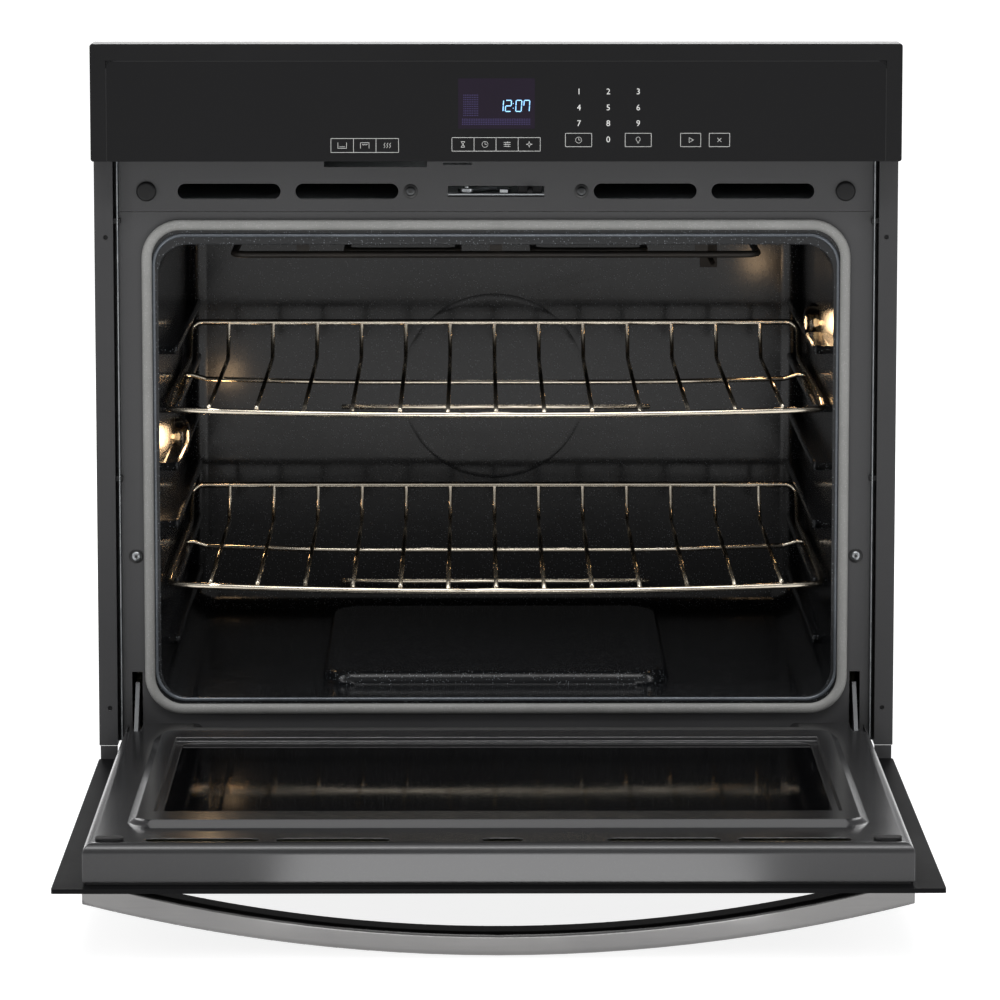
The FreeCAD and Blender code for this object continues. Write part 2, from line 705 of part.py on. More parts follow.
def make_side_panel(side, sign):
    """A side sheet with a folded rear edge, two stiffening folds and a row of air slots."""
    label = f"side_panel_{side}"
    body = new_body(label)
    outside = side_out if sign > 0 else minus(side_out)
    sketch = sketch_on(body, "YZ_Plane", outside)
    outline(sketch, (gauge, less(rear, gauge)), ("0", less(roof, gauge)))
    pad(body, sketch, gauge, backwards=sign > 0)
    fold = sketch_on(body, "YZ_Plane", outside)
    outline(fold, (less(rear, gauge, gauge), less(rear, gauge)), (total(gauge, gauge), less(roof, gauge)))
    pad(body, fold, "dims.corner_fold", backwards=sign > 0)
    slots = sketch_on(body, "YZ_Plane", outside)
    slot(slots, less(rear, "dims.louvre_start"), less(rear, "dims.louvre_end"), less(roof, "dims.louvre_drop"),
         "dims.louvre_height")
    cutting = body.newObject("PartDesign::Pocket", f"{label}_slot")
    cutting.Profile = slots
    cutting.setExpression("Length", total(gauge, gauge))
    cutting.Reversed = sign < 0
    doc.recompute()
    row = body.newObject("PartDesign::LinearPattern", f"{label}_slots")
    row.Originals = [cutting]
    row.Direction = (slots, ["V_Axis"])
    row.Reversed = True
    row.Length = 70
    row.Occurrences = 6
    body.Tip = row
    keep(label, body)


def make_top_cover():
    body = new_body("top_cover")
    sketch = sketch_on(body, "XY_Plane", less(roof, gauge))
    outline(sketch, both(side_out), (gauge, less(rear, gauge)))
    pad(body, sketch, gauge)
    holes = sketch_on(body, "XY_Plane", roof)
    slot(holes, minus("dims.exit_out"), minus("dims.exit_in"), "dims.exit_y", "dims.exit_height")
    slot(holes, "dims.exit_in", "dims.exit_out", "dims.exit_y", "dims.exit_height")
    cutting = body.newObject("PartDesign::Pocket", "top_cover_slot")
    cutting.Profile = holes
    cutting.setExpression("Length", total(gauge, gauge))
    doc.recompute()
    row = body.newObject("PartDesign::LinearPattern", "top_cover_slots")
    row.Originals = [cutting]
    row.Direction = (holes, ["V_Axis"])
    row.Length = 96
    row.Occurrences = 5
    body.Tip = row
    keep("top_cover", body)


def rear_screw_places():
    x = less(side_in, "dims.rear_screw_in")
    return [(s, less(rear, gauge), z) for s in mirrored_pair(x) for z in
            ("dims.rear_screw_end", half(roof), less(roof, "dims.rear_screw_end"))]


def make_rear_cover():
    body = front_plate("rear_cover", both(side_out), ("0", roof), less(rear, gauge))
    holes = front_cuts(body)
    for x, _, z in rear_screw_places():
        ring(holes, x, z, screw_hole)
    ring(holes, less(side_out, "dims.cable_side"), less(roof, "dims.cable_drop"), "dims.cable_hole")
    pocket(body, holes)
    grille = sketch_on(body, "XZ_Plane", minus(rear))
    slot(grille, minus("dims.grille_half"), "dims.grille_half", less(roof, "dims.grille_drop"),
         "dims.louvre_height")
    cutting = body.newObject("PartDesign::Pocket", "rear_cover_slot")
    cutting.Profile = grille
    cutting.setExpression("Length", total(gauge, gauge))
    cutting.Reversed = True
    doc.recompute()
    row = body.newObject("PartDesign::LinearPattern", "rear_cover_slots")
    row.Originals = [cutting]
    row.Direction = (grille, ["V_Axis"])
    row.Length = 60
    row.Occurrences = 6
    body.Tip = row
    keep("rear_cover", body)
    keep("rear_screws", group(*[rear_screw(at) for at in rear_screw_places()], stem="rear_screws"))


def rear_screw(at):
    """A screw driven forwards, its head behind the rear cover."""
    x, y, z = at
    shank = rod("dims.screw_radius", "dims.rear_screw_length", (x, less(rear, "dims.rear_screw_length"), z), "y",
                    "shank")
    head = rod("dims.screw_head_radius", "dims.screw_head_thick", (x, rear, z), "y", "head")
    return fuse(shank, head, stem="screw")


# front

def make_side_trim(side, sign):
    """The trim that covers the cabinet's edge, with its mounting holes."""
    label = f"side_trim_{side}"
    edge = total(side_out, "dims.trim_gap")
    across = (edge, face_half) if sign > 0 else (minus(face_half), minus(edge))
    front = minus("dims.trim_thick")
    body = front_plate(label, across, ("dims.trim_top", less(panel_low, "dims.trim_clear")), front, "dims.trim_thick")
    inner = (edge, total(edge, gauge)) if sign > 0 else (minus(total(edge, gauge)), minus(edge))
    foot = (side_out, total(edge, gauge)) if sign > 0 else (minus(total(edge, gauge)), minus(side_out))
    up = ("dims.trim_top", less(panel_low, "dims.trim_clear"))
    returns(body, "0", "dims.trim_return", (inner, up))
    returns(body, "dims.trim_return", gauge, (foot, up))
    holes = front_cuts(body)
    x = less(face_half, "dims.trim_screw_edge")
    for z in ("dims.trim_screw_low", total("dims.trim_screw_low", "dims.trim_screw_pitch")):
        ring(holes, x if sign > 0 else minus(x), z, "dims.mount_hole_radius")
    pocket(body, holes)
    keep(label, body)


def make_bottom_trim():
    """The trim under the door: a folded skin with air slots and two raised ends."""
    edge = less(face_half, "dims.trim_step")
    front = minus("dims.trim_stand")
    low = minus("dims.bottom_overlap")
    back = total(front, gauge)
    skin = block(both(edge), (front, back), (low, "dims.trim_centre_top"))
    tab_in = total(side_out, "dims.trim_gap")
    parts = [skin]
    for across in ((minus(edge), minus(tab_in)), (tab_in, edge)):
        parts.append(block(across, (front, back), ("dims.trim_centre_top", less("dims.trim_top", "0.1"))))
    for across in ((minus(edge), less(gauge, edge)), (less(edge, gauge), edge)):
        parts.append(block(across, (back, "0"), (low, less("dims.trim_top", "dims.trim_clear"))))
    parts.append(block(both(less(edge, gauge)), (back, "0"), (low, total(low, gauge))))
    parts.append(block(both(frame_half), (back, less(frame_y, "dims.trim_clear")),
                       (less("dims.trim_centre_top", gauge), "dims.trim_centre_top")))
    solid = fuse(*parts)
    air = [block((total(half(edge), start), total(half(edge), start, "56")), (less(front, "1"), total(back, "1")),
                 (total(low, "5"), total(low, "9"))) for start in ("-340", "-262", "-184", "-106", "-28")]
    keep("bottom_trim", cut(solid, *air, stem="bottom_trim"))


def frame_screw_places():
    x = total(flange_half, "dims.gasket_out", "dims.gasket_radius", "dims.ring_radius", "dims.frame_screw_clear")
    return [(at, frame_y, total(cavity_floor, "dims.frame_screw_rise")) for at in mirrored_pair(x)]


def make_front_frame():
    low = total(gauge, "dims.frame_lift")
    body = front_plate("front_frame", both(frame_half), (low, less(band_low, "0.3")), frame_y)
    sides = [(across, (low, less(band_low, "0.3"))) for across in
             ((minus(frame_half), less(gauge, frame_half)), (less(frame_half, gauge), frame_half))]
    returns(body, frame_back, "dims.frame_return", *sides)
    mouth = front_cuts(body)
    out = total(flange_half, "dims.mouth_gap")
    outline(mouth, both(out), (less(flange_low, "dims.mouth_gap"), total(flange_high, "dims.mouth_gap")))
    pocket(body, mouth)
    size = number(out)
    round_body(body, total("dims.gasket_corner", minus("dims.gasket_out")),
               lambda edge: along(edge, "y") and abs(abs(edge.BoundBox.XMin) - size) < 0.01)
    holes = front_cuts(body)
    for x in mirrored_pair(hinge_x):
        reach = half("dims.hinge_slot_width")
        outline(holes, (less(x, reach), total(x, reach)),
                (total(hinge_z, "dims.hinge_slot_low"), total(hinge_z, "dims.hinge_slot_high")))
    for x, _, z in frame_screw_places():
        ring(holes, x, z, screw_hole)
    pocket(body, holes)
    keep("front_frame", body)
    screws = [screw(at, "y", "dims.screw_length", washer=True) for at in frame_screw_places()]
    keep("frame_screws", group(*screws, stem="frame_screws"))


def slot_spans():
    """Each vent slot's left and right ends."""
    inner = ("dims.slot_inner", total("dims.slot_inner", slot_length))
    outer = (less(slot_end, slot_length), slot_end)
    return [inner, outer, tuple(minus(x) for x in inner[::-1]), tuple(minus(x) for x in outer[::-1])]


def make_vent_band():
    body = front_plate("vent_band", both(frame_half), (band_low, band_top), frame_y)
    inside = both(less(frame_half, gauge))
    returns(body, frame_back, "10", (inside, (band_low, total(band_low, gauge))))
    holes = front_cuts(body)
    for left, right in slot_spans():
        slot(holes, left, right, band_z, slot_half)
    reach = half("dims.latch_slot_height")
    outline(holes, both("dims.latch_slot_half"), (less(band_z, reach), total(band_z, reach)))
    for x in mirrored_pair("dims.ring_screw_x"):
        ring(holes, x, band_z, screw_hole)
    for x in mirrored_pair(buffer_x):
        ring(holes, x, band_z, "4.1")
    outline(holes, ("-162", "-65"), (less(band_top, "8"), less(band_top, "1.5")))
    outline(holes, ("-50", "-23"), (less(band_top, "6"), less(band_top, "4")))
    pocket(body, holes)
    keep("vent_band", body)
    places = [(x, frame_y, band_z) for x in mirrored_pair("dims.ring_screw_x")]
    screws = [screw(at, "y", "dims.screw_length", washer=True) for at in places]
    keep("band_screws", group(*screws, stem="band_screws"))
    buffers = []
    for x in mirrored_pair(buffer_x):
        dome = rod("dims.buffer_radius", "dims.buffer_proud", (x, less(frame_y, "dims.buffer_proud"), band_z), "y")
        crown = number(less(frame_y, "dims.buffer_proud"))
        dome = rounded(dome, less("dims.buffer_proud", "1.2"), lambda edge: near(edge, "y", crown))
        buffers.append(fuse(dome, rod("4", "6", (x, frame_y, band_z), "y")))
    keep("band_buffers", group(*buffers, stem="band_buffers"))


# control panel

def panel_glass_places():
    edge = less(face_half, "dims.glass_side")
    return edge, less(face_top, "dims.glass_top")


def make_control_panel():
    glass_edge, glass_high = panel_glass_places()
    wall = "dims.panel_wall"
    shell = rounded_block(both(face_half), (panel_y, "0"), (panel_low, face_top), "dims.panel_round", "y", "bezel")
    front_in = total(panel_y, "dims.panel_front")
    hollow = block(both(less(face_half, wall)), (front_in, "1"), (total(panel_low, wall), less(face_top, wall)))
    glass_back = total(panel_y, "dims.glass_thick")
    seat = block(both(total(glass_edge, "dims.glass_gap")), (less(panel_y, "1"), glass_back),
                 (less(panel_low, "1"), total(glass_high, "dims.glass_gap")))
    opening = block(both(less(glass_edge, "dims.ledge")), (less(panel_y, "1"), total(front_in, "1")),
                    (total(panel_low, "dims.ledge"), less(glass_high, "dims.ledge")))
    bezel = cut(shell, hollow, seat, opening, stem="control_bezel")
    keep("control_bezel", bezel)
    glass = rounded_block(both(glass_edge), (panel_y, glass_back), (panel_low, glass_high), "dims.glass_round", "y", "glass")
    keep("control_glass", glass)
    film_back = total(glass_back, "dims.film_thick")
    gap = total("dims.ledge", "1")
    film = block(both(less(glass_edge, gap)), (glass_back, film_back),
                 (total(panel_low, gap), less(glass_high, gap)))
    keep("touch_film", film)
    show_top = less(face_top, "dims.display_drop")
    display_back = total(film_back, "dims.display_depth")
    show = block(both(half("dims.display_width")), (film_back, display_back),
                 (less(show_top, "dims.display_height"), show_top), "display")
    keep("display_module", show)
    board_back = total(display_back, "dims.board_thick")
    board_z = (total(panel_low, "dims.board_low"), less(face_top, "dims.board_high"))
    board = block(both(half("dims.board_width")), (display_back, board_back), board_z)
    middle = half(total(*board_z))
    parts = [board]
    for x, size, tall in (("-140", "26", "13"), ("-95", "22", "11"), ("-20", "30", "5"), ("60", "18", "9"),
                          ("120", "34", "14")):
        parts.append(block((x, total(x, size)), (board_back, total(board_back, tall)),
                           (less(middle, half(size)), total(middle, half(size)))))
    keep("control_board", fuse(*parts, stem="control_board"))


# cavity

def make_cavity_liner():
    wall = "dims.cavity_wall"
    front = frame_y
    outer = rounded_block(both(total(cavity_half, wall)), (front, total(cavity_back, wall)),
                          (less(cavity_floor, wall), total(cavity_ceiling, wall)),
                          total("dims.cavity_radius", wall), "y", "cavity_out")
    flange = rounded_block(both(flange_half), (front, total(front, wall)), (flange_low, flange_high),
                           less("dims.gasket_corner", "dims.gasket_out", "dims.mouth_gap"), "y", "flange")
    inner = rounded_block(both(cavity_half), (less(front, "1"), cavity_back), (cavity_floor, cavity_ceiling),
                          "dims.cavity_radius", "y", "cavity_in")
    back = number(cavity_back)
    inner = rounded(inner, less("dims.cavity_radius", "dims.cavity_back_round_less"), lambda edge: near(edge, "y", back))
    shell = cut(fuse(outer, flange), inner, stem="cavity_shell")
    shell = cut(fuse(shell, back_round("0"), floor_plinth("0")), back_round(wall), floor_plinth(wall),
                stem="cavity_forms")
    guides = [rack_guide(sign, level) for sign in (-1, 1) for level in range(level_count())]
    cutters = []
    for x, y, z in lamp_places():
        sign = 1 if number(x) > 0 else -1
        start = less(x, "30") if sign > 0 else less(x, "10")
        cutters.append(rod(total("dims.lamp_radius", "dims.lamp_boss"), "40", (start, y, z), "x"))
    guides = cut(fuse(*guides), *cutters, stem="guides")
    holes = [rod(less("dims.lamp_radius", "dims.lamp_seat"), "20", (less(x, "10"), y, z), "x")
             for x, y, z in lamp_places()]
    for x in broil_ends():
        holes.append(rod(total("dims.element_radius", "dims.lead_clear"), "10", (x, less(cavity_back, "4"), broil_z), "y"))
    holes.append(rod("dims.sensor_hole", "10", (sensor_x, less(cavity_back, "4"), sensor_z), "y"))
    keep("cavity_liner", cut(fuse(shell, guides), *holes, stem="cavity_liner"))


def back_round(skin):
    """The stamped round in the back wall, or with a skin the hollow behind it."""
    depth = less("dims.boss_height", skin)
    front = less(cavity_back, depth)
    z = total(half(total(cavity_floor, cavity_ceiling)), "dims.boss_rise")
    base = rod(less("dims.boss_radius", skin), total(depth, less("dims.cavity_wall", "0.2"), skin), ("0", front, z),
               "y", "round")
    face = number(front)
    return rounded(base, less("dims.boss_round", skin), lambda edge: near(edge, "y", face))


def floor_plinth(skin):
    """The raised middle of the floor, or with a skin the hollow under it."""
    top = less(total(cavity_floor, "dims.plinth_height"), skin)
    low = less(cavity_floor, less("dims.cavity_wall", "0.2"), skin)
    half_width = less("dims.plinth_half", skin)
    base = rounded_block(both(half_width), (total("dims.plinth_front", skin),
                         less(cavity_back, "dims.plinth_back", skin)), (low, top),
                         less("dims.plinth_corner", skin), "z", "plinth")
    crown = number(top)
    return rounded(base, less("dims.plinth_round", skin), lambda edge: near(edge, "z", crown))


def level_z(index):
    """Height of a rack position."""
    return total(cavity_floor, "dims.level_low", f"dims.level_pitch * {index}")


def level_count():
    """As many rack positions as the cavity's height holds."""
    span = less(cavity_ceiling, cavity_floor, "dims.level_low", "dims.level_room")
    return 1 + math.floor(number(span) / number("dims.level_pitch"))


def rack_guide(sign, index):
    """A stamped ledge that carries one side of a rack."""
    top = less(level_z(index), "dims.rack_rail", "dims.rack_gap")
    root = total(cavity_half, half("dims.cavity_wall"))
    tip = less(cavity_half, "dims.guide_reach")
    across = (tip, root) if sign > 0 else (minus(root), minus(tip))
    ledge = block(across, ("dims.guide_front", less(cavity_back, "dims.guide_back")),
                  (less(top, "dims.guide_height"), top))
    nose = number(tip) * sign
    return rounded(ledge, "dims.guide_round", lambda edge: near(edge, "x", nose))


def lamp_places():
    return [(cavity_half, "dims.lamp_right_y", less(cavity_ceiling, "dims.lamp_right_drop")),
            (minus(cavity_half), "dims.lamp_left_y", total(cavity_floor, "dims.lamp_left_rise"))]


def make_lamps():
    """Two glass covers, and behind the cavity walls their sockets and bulbs."""
    sockets, bulbs = [], []
    for side, sign, (x, y, z) in zip(("right", "left"), (1, -1), lamp_places()):
        inside = less(x, "dims.lamp_proud") if sign > 0 else x
        lens = rod("dims.lamp_radius", "dims.lamp_proud", (inside, y, z), "x", "lens")
        crown = number(less(x, "dims.lamp_proud") if sign > 0 else total(x, "dims.lamp_proud"))
        lens = rounded(lens, less("dims.lamp_proud", "2"), lambda edge: near(edge, "x", crown))
        hollow = rod(less("dims.lamp_radius", "8"), less("dims.lamp_proud", "2"),
                     (total(inside, "2") if sign > 0 else inside, y, z), "x")
        keep(f"lamp_lens_{side}", cut(lens, hollow, stem="lamp_lens"))
        wall = "dims.cavity_wall"
        depth = "dims.lamp_depth"
        outside = total(x, wall) if sign > 0 else less(x, wall, depth)
        can = rod(less("dims.lamp_radius", "2"), depth, (outside, y, z), "x", "can")
        room_start = outside if sign > 0 else total(outside, "6")
        room = rod(less("dims.lamp_radius", "dims.lamp_seat"), less(depth, "6"), (room_start, y, z), "x")
        sockets.append(cut(can, room))
        bulb_start = less(x, "dims.bulb_back") if sign > 0 else less(total(x, "dims.bulb_back"), "dims.bulb_length")
        bulbs.append(rod("dims.bulb_radius", "dims.bulb_length", (bulb_start, y, z), "x", "bulb"))
    keep("lamp_sockets", group(*sockets, stem="lamp_sockets"))
    keep("lamp_bulbs", group(*bulbs, stem="lamp_bulbs"))


def make_gasket():
    out = number(total(flange_half, "dims.gasket_out"))
    low = number(less(flange_low, "dims.gasket_out"))
    high = number(total(flange_high, "dims.gasket_out"))
    size = number("dims.gasket_radius")
    y = number(frame_y) - size
    points = [V(-out, y, low), V(out, y, low), V(out, y, high), V(-out, y, high)]
    keep("door_gasket", free("door_gasket", tube(points, number("dims.gasket_corner"), size, closed=True)))


broil_z = less(cavity_ceiling, "dims.broil_drop")
bake_z = less(cavity_floor, "dims.cavity_wall", "dims.bake_drop")
sensor_x = less(cavity_half, "dims.sensor_side")
sensor_z = less(cavity_ceiling, "dims.sensor_drop")


def broil_ends():
    return mirrored_pair("dims.lead_half")


def make_elements():
    size = number("dims.element_radius")
    wide = number(less(cavity_half, "70"))
    front, back = number(total(frame_y, "62")), number(less(cavity_back, "84"))
    z = number(broil_z)
    end = number(less(cavity_back, "-22"))
    mid = number(broil_ends()[1])
    inner = wide / 2 + mid / 2
    points = [V(-mid, end, z), V(-mid, front, z), V(-inner, front, z), V(-inner, back, z), V(-wide, back, z),
              V(-wide, front - 34, z), V(wide, front - 34, z), V(wide, back, z), V(inner, back, z),
              V(inner, front, z), V(mid, front, z), V(mid, end, z)]
    keep("broil_element", free("broil_element", tube(points, 15.0, size)))
    z = number(bake_z)
    last = number(less(cavity_back, "-14"))
    points = [V(-mid, last, z), V(-mid, front + 60, z), V(-inner, front + 60, z), V(-inner, back, z),
              V(-wide, back, z), V(-wide, front, z), V(wide, front, z), V(wide, back, z), V(inner, back, z),
              V(inner, front + 60, z), V(mid, front + 60, z), V(mid, last, z)]
    keep("bake_element", free("bake_element", tube(points, 15.0, size)))
    hangers = []
    for x in ("-1 * " + str(wide - 60), "-6", str(wide - 60)):
        y = (str(front - 34 - 1.5), str(front - 34 + 1.5))
        hangers.append(block((x, total(x, "12")), y, (total(broil_z, "dims.element_radius"), cavity_ceiling)))
    keep("element_hangers", group(*hangers, stem="element_hangers"))
    tray_z = less(bake_z, "9")
    tray_half = less(cavity_half, "36")
    span = (total(frame_y, "78"), less(cavity_back, "30"))
    tray = block(both(tray_half), span, (tray_z, total(tray_z, gauge)))
    rim = [block(across, span, (tray_z, less(cavity_floor, "dims.cavity_wall"))) for across in
           ((minus(tray_half), less("1", tray_half)), (less(tray_half, "1"), tray_half))]
    keep("bake_tray", fuse(tray, *rim, stem="bake_tray"))


def make_sensor():
    plate = block((less(sensor_x, "9"), total(sensor_x, "9")), (less(cavity_back, "1.5"), cavity_back),
                  (less(sensor_z, "14"), total(sensor_z, "14")))
    probe = rod("dims.sensor_radius", "dims.sensor_length", (sensor_x, less(cavity_back, "90"), sensor_z), "y")
    keep("temperature_sensor", fuse(plate, probe, stem="temperature_sensor"))


def make_insulation():
    """A blanket round the top, sides and back of the cavity and under its tray."""
    room = total("dims.cavity_wall", "dims.insulation_gap")
    under = total(bake_z, "-11")
    inner = block(both(total(cavity_half, room)), (less("dims.insulation_front", "1"), total(cavity_back, room)),
                  (under, total(cavity_ceiling, room)))
    thick = total(room, "dims.insulation_thick")
    outer = block(both(total(cavity_half, thick)), ("dims.insulation_front", total(cavity_back, thick)),
                  (less(under, "dims.insulation_thick"), total(cavity_ceiling, thick)))
    holes = [rod(less("dims.lamp_radius", "1"), "80", (less(x, "40"), y, z), "x") for x, y, z in lamp_places()]
    for x in broil_ends():
        for z in (broil_z, bake_z):
            holes.append(rod("6", "60", (x, less(cavity_back, "10"), z), "y"))
    holes.append(rod("5", "60", (sensor_x, less(cavity_back, "10"), sensor_z), "y"))
    keep("insulation_blanket", cut(outer, inner, *holes, stem="insulation_blanket"))


# racks

def rack_shape(level):
    """A welded wire rack: bent rim, wires from front to back and two cross bars."""
    rail, wire = number("dims.rack_rail"), number("dims.rack_wire")
    side = number(less(cavity_half, "dims.rack_side_gap", "dims.rack_rail"))
    front, rise = number("dims.rack_front"), number("dims.rack_rise")
    back = number(less(cavity_back, "dims.rack_back"))
    low = level - number("dims.rack_drop")
    bow = number("dims.rack_bow")
    start, turn = front + number("dims.rim_front"), back - number("dims.rim_bend")
    rim = [V(-side, front, low), V(-side / 2, front - bow, low), V(side / 2, front - bow, low),
           V(side, front, low), V(side, start, level), V(side, turn, level),
           V(side, back, level + rise), V(-side, back, level + rise), V(-side, turn, level), V(-side, start, level)]
    corner, sweep, shoulder, heel = 13.0, 1050.0, 24.0, 14.0
    radii = [corner, sweep, sweep, corner, shoulder, heel, corner, corner, heel, shoulder]
    solids = [tube(rim, radii, rail, closed=True)]
    count = int(number("dims.rack_wires"))
    span = side - number("dims.rack_margin")
    places = [-span + 2 * span * i / (count - 1) for i in range(count)]
    for x in places:
        start = front - bow * (1 - (x / side) ** 2) - 1.5
        points = [V(x, start, level), V(x, back - number("dims.wire_bend"), level), V(x, back, level + rise)]
        solids.append(tube(points, [0, 10.0, 0], wire))
    weld, bar = number("dims.rack_weld"), number("dims.rack_bar")
    under = level - wire - bar + weld
    cross, ahead = number("dims.rack_cross"), number("dims.rack_cross_bow")
    hook = [V(-side, cross, level), V(-side + 10, cross, level), V(-side + 24, cross, under),
            V(-side / 2, cross - ahead, under), V(side / 2, cross - ahead, under), V(side - 24, cross, under),
            V(side - 10, cross, level), V(side, cross, level)]
    solids.append(tube(hook, [0, 6.0, 6.0, 500.0, 500.0, 6.0, 6.0, 0], bar))
    end = -places[3] + number("dims.rack_short_over")
    short = number("dims.rack_short")
    solids.append(tube([V(-end, short, under), V(end, short, under)], 0, bar))
    return solids[0].fuse(solids[1:]).removeSplitter()


def make_racks():
    """Both racks have one shape, on the second and the last but one position."""
    lower, upper = number(level_z(1)), number(level_z(level_count() - 2))
    shape = rack_shape(lower)
    keep("rack_lower", free("rack_lower", shape))
    higher = free("rack_upper", shape.copy())
    higher.Placement = FreeCAD.Placement(V(0, 0, upper - lower), FreeCAD.Rotation())
    keep("rack_upper", higher)


# cooling air

duct_z = (less(band_z, "dims.duct_low"), total(band_z, "dims.duct_high"))
blower_y = less(rear, "dims.blower_back")
housing_radius = total("dims.blower_radius", "dims.blower_gap")


def duct_shape(skin, open_end):
    """Two branches and the chamber behind them; skin is taken off every side."""
    z = (total(duct_z[0], skin), less(duct_z[1], skin))
    start = less(frame_back, "-2", open_end)
    middle = total(frame_back, "dims.duct_branch")
    end = less(blower_y, housing_radius, "12")
    parts = []
    for sign in (-1, 1):
        near_side, far = total("dims.slot_inner", "-6", skin), less(total(slot_end, "6"), skin)
        across = (near_side, far) if sign > 0 else (minus(far), minus(near_side))
        parts.append(block(across, (start, total(middle, skin, "1")), z))
    chamber = less(total(slot_end, "6"), skin)
    parts.append(block(both(chamber), (total(middle, skin), less(end, skin)), z))
    parts.append(block(both(less("70", skin)), (less(end, "20"), total(end, "8", open_end)), z))
    return fuse(*parts, stem="duct")


def make_blower():
    keep("air_duct", cut(duct_shape("0", "0"), duct_shape("1", "1"), stem="air_duct"))
    low = less(duct_z[0], "6")
    top = total(low, "dims.blower_height", "16")
    drum = rod(housing_radius, less(top, low), ("0", blower_y, low))
    snout = block(both("66"), (less(blower_y, housing_radius, "3"), blower_y), (less(duct_z[0], "1"), total(duct_z[1], "1")))
    room = rod(less(housing_radius, "1.2"), less(top, low, "2.4"), ("0", blower_y, total(low, "1.2")))
    throat = block(both("64.8"), (less(blower_y, housing_radius, "4"), blower_y), duct_z)
    eye = rod(less("dims.blower_radius", "18"), "20", ("0", blower_y, less(low, "10")))
    shaft_way = rod(total("dims.shaft_radius", "2"), "20", ("0", blower_y, less(top, "10")))
    keep("blower_housing", cut(fuse(drum, snout), room, throat, eye, shaft_way, stem="blower_housing"))
    motor_low = total(top, "0.5")
    motor = rod("24", "30", ("0", blower_y, total(motor_low, "3")))
    feet = block(both("34"), (less(blower_y, "9"), total(blower_y, "9")), (top, total(top, "3.5")))
    bore = rod(total("dims.shaft_radius", "dims.running_gap"), "20", ("0", blower_y, less(top, "1")))
    keep("blower_motor", cut(fuse(motor, feet), bore, stem="blower_motor"))
    body = new_body("blower_wheel")
    plate_low = total(low, "8")
    disc = sketch_on(body, "XY_Plane", total(plate_low, "dims.blower_height", "-2"))
    ring(disc, "0", "0", "dims.blower_radius")
    pad(body, disc, "2")
    collar = sketch_on(body, "XY_Plane", plate_low)
    ring(collar, "0", "0", "dims.blower_radius")
    ring(collar, "0", "0", less("dims.blower_radius", "12"))
    pad(body, collar, "2")
    hub = sketch_on(body, "XY_Plane", total(plate_low, "10"))
    ring(hub, "0", "0", "9")
    pad(body, hub, less("dims.blower_height", "11"))
    axle = sketch_on(body, "XY_Plane", total(plate_low, "10"))
    ring(axle, "0", "0", "dims.shaft_radius")
    pad(body, axle, total("dims.blower_height", "10"))
    blade = sketch_on(body, "XY_Plane", total(plate_low, "1"))
    outline(blade, (less("dims.blower_radius", "12"), less("dims.blower_radius", "1")), ("-0.6", "0.6"))
    fin = pad(body, blade, less("dims.blower_height", "2"))
    doc.recompute()
    blades = body.newObject("PartDesign::PolarPattern", "blower_blades")
    blades.Originals = [fin]
    blades.Axis = (blade, ["N_Axis"])
    blades.Angle = 360
    blades.setExpression("Occurrences", "dims.blade_count")
    body.Tip = blades
    body.setExpression("Placement.Base.y", blower_y)
    keep("blower_wheel", body)


# latch and door switch

hook_z = (less(band_z, half("dims.hook_thick")), total(band_z, half("dims.hook_thick")))


def make_latch():
    x, y = "dims.latch_x", "dims.latch_y"
    motor_x, motor_y = minus("dims.motor_x"), "dims.motor_y"
    deck = less(hook_z[0], "1")
    plate = block(both("dims.deck_half"), (total(frame_back, "1"), "dims.deck_end"), (less(deck, "dims.deck_thick"), deck))
    pivot = rod("dims.latch_pin", total("dims.hook_thick", "3"), (x, y, deck))
    shoulder = rod(total("dims.latch_pin", "2"), "0.8", (x, y, deck))
    ears = [block(across, (total(frame_back, "1"), "14"),
                  (less(deck, "dims.deck_drop"), less(deck, "dims.deck_thick"))) for across in
            ((minus("dims.deck_half"), less("dims.deck_ear", "dims.deck_half")),
             (less("dims.deck_half", "dims.deck_ear"), "dims.deck_half"))]
    crank_way = rod("5", "6", (motor_x, motor_y, less(deck, "4")))
    keep("latch_bracket", fuse(cut(plate, crank_way), pivot, shoulder, *ears, stem="latch_bracket"))
    motor = rod("19", "17", (motor_x, motor_y, less(deck, "18.5")))
    crank = rod("4", "7", (motor_x, motor_y, less(deck, "1.5")))
    keep("latch_motor", fuse(motor, crank, stem="latch_motor"))
    mid = number("dims.hook_radius")
    reach = number("dims.hook_width") / 2
    low, thick = number(hook_z[0]), number("dims.hook_thick")
    px, py = number(x), number(y)
    start, end = math.radians(-22), math.radians(42)

    def spot(radius, angle):
        return V(px + radius * math.cos(angle), py + radius * math.sin(angle), low)

    halfway = (start + end) / 2
    outer = Part.Arc(spot(mid + reach, start), spot(mid + reach, halfway), spot(mid + reach, end)).toShape()
    inner = Part.Arc(spot(mid - reach, end), spot(mid - reach, halfway), spot(mid - reach, start)).toShape()
    arc = Part.Wire([outer, Part.makeLine(spot(mid + reach, end), spot(mid - reach, end)), inner,
                     Part.makeLine(spot(mid - reach, start), spot(mid + reach, start))])
    hook = Part.Face(arc).extrude(V(0, 0, thick))
    hub = Part.makeCylinder(8, thick, V(px, py, low))
    web_end = spot(mid, end)
    run = web_end - V(px, py, low)
    side = V(-run.y, run.x, 0).normalize() * 5
    base = V(px, py, low)
    web = Part.Face(Part.makePolygon([base - side, web_end - side, web_end + side, base + side, base - side]))
    hole = Part.makeCylinder(number("dims.latch_pin") + number("dims.running_gap"), thick + 2, V(px, py, low - 1))
    solid = hook.fuse([hub, web.extrude(V(0, 0, thick))]).cut(hole).removeSplitter()
    keep("latch_hook", free("latch_hook", solid))


